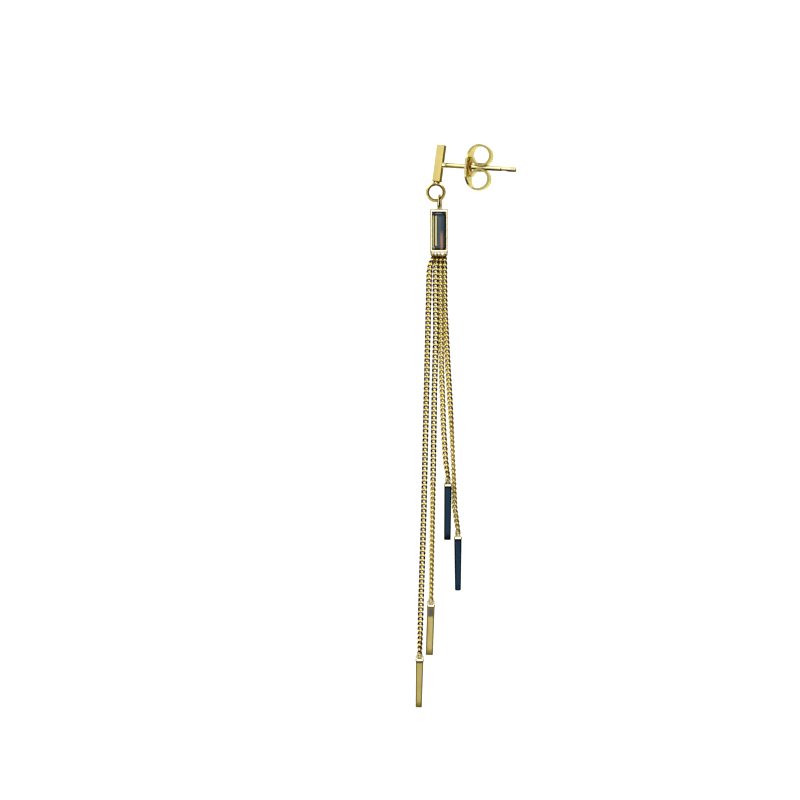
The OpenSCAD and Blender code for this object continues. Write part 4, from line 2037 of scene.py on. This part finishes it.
def hung_chains(case: BoxedStone, bars: list[CappedBar]) -> list[CurbChain]:
    """The four chains, each from the box's rail to the eye of its bar.

    Args:
        case: The box.
        bars: The bars, from left to right.

    Returns:
        The chains, from left to right.
    """
    link = CurbLink()
    chain_1 = CurbChain(
        name="curb_chain_1",
        nodes=("chain_1",),
        links=85,
        eye=bars[0].eye,
        link=link,
        case=case,
        # Columns: drop, sideways place, depth and turn of the flat
        route=[
            (0, -2.96, 0.0, -66),
            (13.4, -3.26, -0.14, -36),
            (14.2, -3.46, -0.30, -10),
            (16.2, -3.54, -0.46, 0),
            (20.5, -3.64, -0.60, 0),
            (31.4, -3.89, -0.60, 0),
            (48.0, -4.26, -0.60, 0),
            (62.0, -4.69, -0.60, 0),
            (0, -4.824, -0.60, -62),
        ],
        # Columns: drop, painted shade of left sides, right sides and bends, and share of painted
        # olive gold
        painted_shading=[
            (13, 1, 1, 0.2, 0.9),
            (15, 0.85, 0.85, 0.5, 0.8),
            (33, 0.85, 0.85, 0.5, 0.8),
            (37, 1, 1, 0, 0.2),
            (50, 1, 0.95, 0.1, 0.4),
            (60, 1, 0.7, 0.1, 0.5),
        ],
    )
    chain_2 = CurbChain(
        name="curb_chain_2",
        nodes=("chain_2",),
        links=73,
        eye=bars[1].eye,
        link=link,
        case=case,
        route=[
            (0, -2.43, 0.0, -66),
            (13.4, -2.52, -0.02, -34),
            (14.4, -2.60, -0.10, -8),
            (18.0, -2.64, -0.20, 0),
            (20.5, -2.60, -0.20, 0),
            (23.0, -2.58, -0.20, 0),
            (31.4, -2.79, -0.20, 0),
            (42.5, -2.95, -0.20, 0),
            (44.5, -2.98, -0.20, -38),
            (51.0, -3.10, -0.20, -44),
            (0, -3.242, -0.20, -66),
        ],
        painted_shading=[
            (13, 1, 1, 0.1, 0.9),
            (15, 1, 1, 0.1, 0.3),
            (42, 1, 1, 0, 0.2),
            (45, 0.35, 0.35, 0, 0.5),
            (52, 0.25, 0.3, 0, 0.5),
        ],
    )
    chain_3 = CurbChain(
        name="curb_chain_3",
        nodes=("chain_3", "chain_3_ends"),
        links=47,
        eye=bars[2].eye,
        link=link,
        case=case,
        route=[
            (0, -1.94, 0.0, -66),
            (13.4, -1.94, 0.02, -40),
            (15.4, -1.96, 0.12, -28),
            (20.0, -1.92, 0.20, -26),
            (28.3, -1.79, 0.20, -24),
            (36.6, -1.50, 0.05, -24),
            (40.8, -1.24, -0.20, -30),
            (0, -0.907, -0.30, -62),
        ],
        painted_shading=[
            (13, 0.9, 0.8, 0, 0.9),
            (15, 0.4, 0.4, 0, 0.7),
            (32, 0.4, 0.4, 0, 0.7),
            (38, 0.6, 0.6, 0, 0.6),
        ],
    )
    chain_4 = CurbChain(
        name="curb_chain_4",
        nodes=("chain_4",),
        links=59,
        eye=bars[3].eye,
        link=link,
        case=case,
        route=[
            (0, -1.36, 0.0, -66),
            (13.4, -1.35, 0.08, -40),
            (15.4, -1.37, 0.36, -26),
            (19.7, -1.31, 0.60, -24),
            (28.0, -0.88, 0.60, -20),
            (33.0, -0.58, 0.60, -26),
            (36.4, -0.38, 0.60, -60),
            (40.5, -0.20, 0.60, -74),
            (44.0, -0.04, 0.60, -66),
            (47.5, 0.06, 0.60, -30),
            (0, 0.493, 0.60, -60),
        ],
        painted_shading=[
            (13, 1, 1, 0, 0.9),
            (15, 0.45, 0.75, 0, 0.8),
            (32, 0.45, 0.75, 0, 0.8),
            (37, 0.25, 0.3, 0, 0.3),
            (50, 0.35, 0.4, 0, 0.6),
        ],
    )
    return [chain_1, chain_2, chain_3, chain_4]


def main() -> None:
    """Builds every sub-assembly in order."""
    logging.basicConfig(level=logging.INFO, format="%(name)s: %(message)s")
    polished, pale, satin = POLISHED_GOLD.build(), PALE_GOLD.build(), SATIN_GOLD.build()
    chain_gold, champagne = CHAIN_GOLD.build(), CHAMPAGNE_GOLD.build()
    smoky, navy = SMOKY_STONE.build(), NAVY_STONE.build()

    post = PostLine()
    stud = EarStud(post)
    stud.build(satin, polished)
    ButterflyNut(post).build(NUT_GOLD.build())
    case = BoxedStone(stud.depth)
    case.build(pale, smoky)

    bars = hung_bars()
    for bar in bars[:2]:
        bar.build(champagne, pale, "champagne_gold")
    for bar in bars[2:]:
        bar.build(navy, pale, "navy_stone")
    for chain in hung_chains(case, bars):
        chain.build(chain_gold)

    Studio(Vector((-0.00756, 0.00066, -0.03246))).build()


if __name__ == "__main__":
    main()
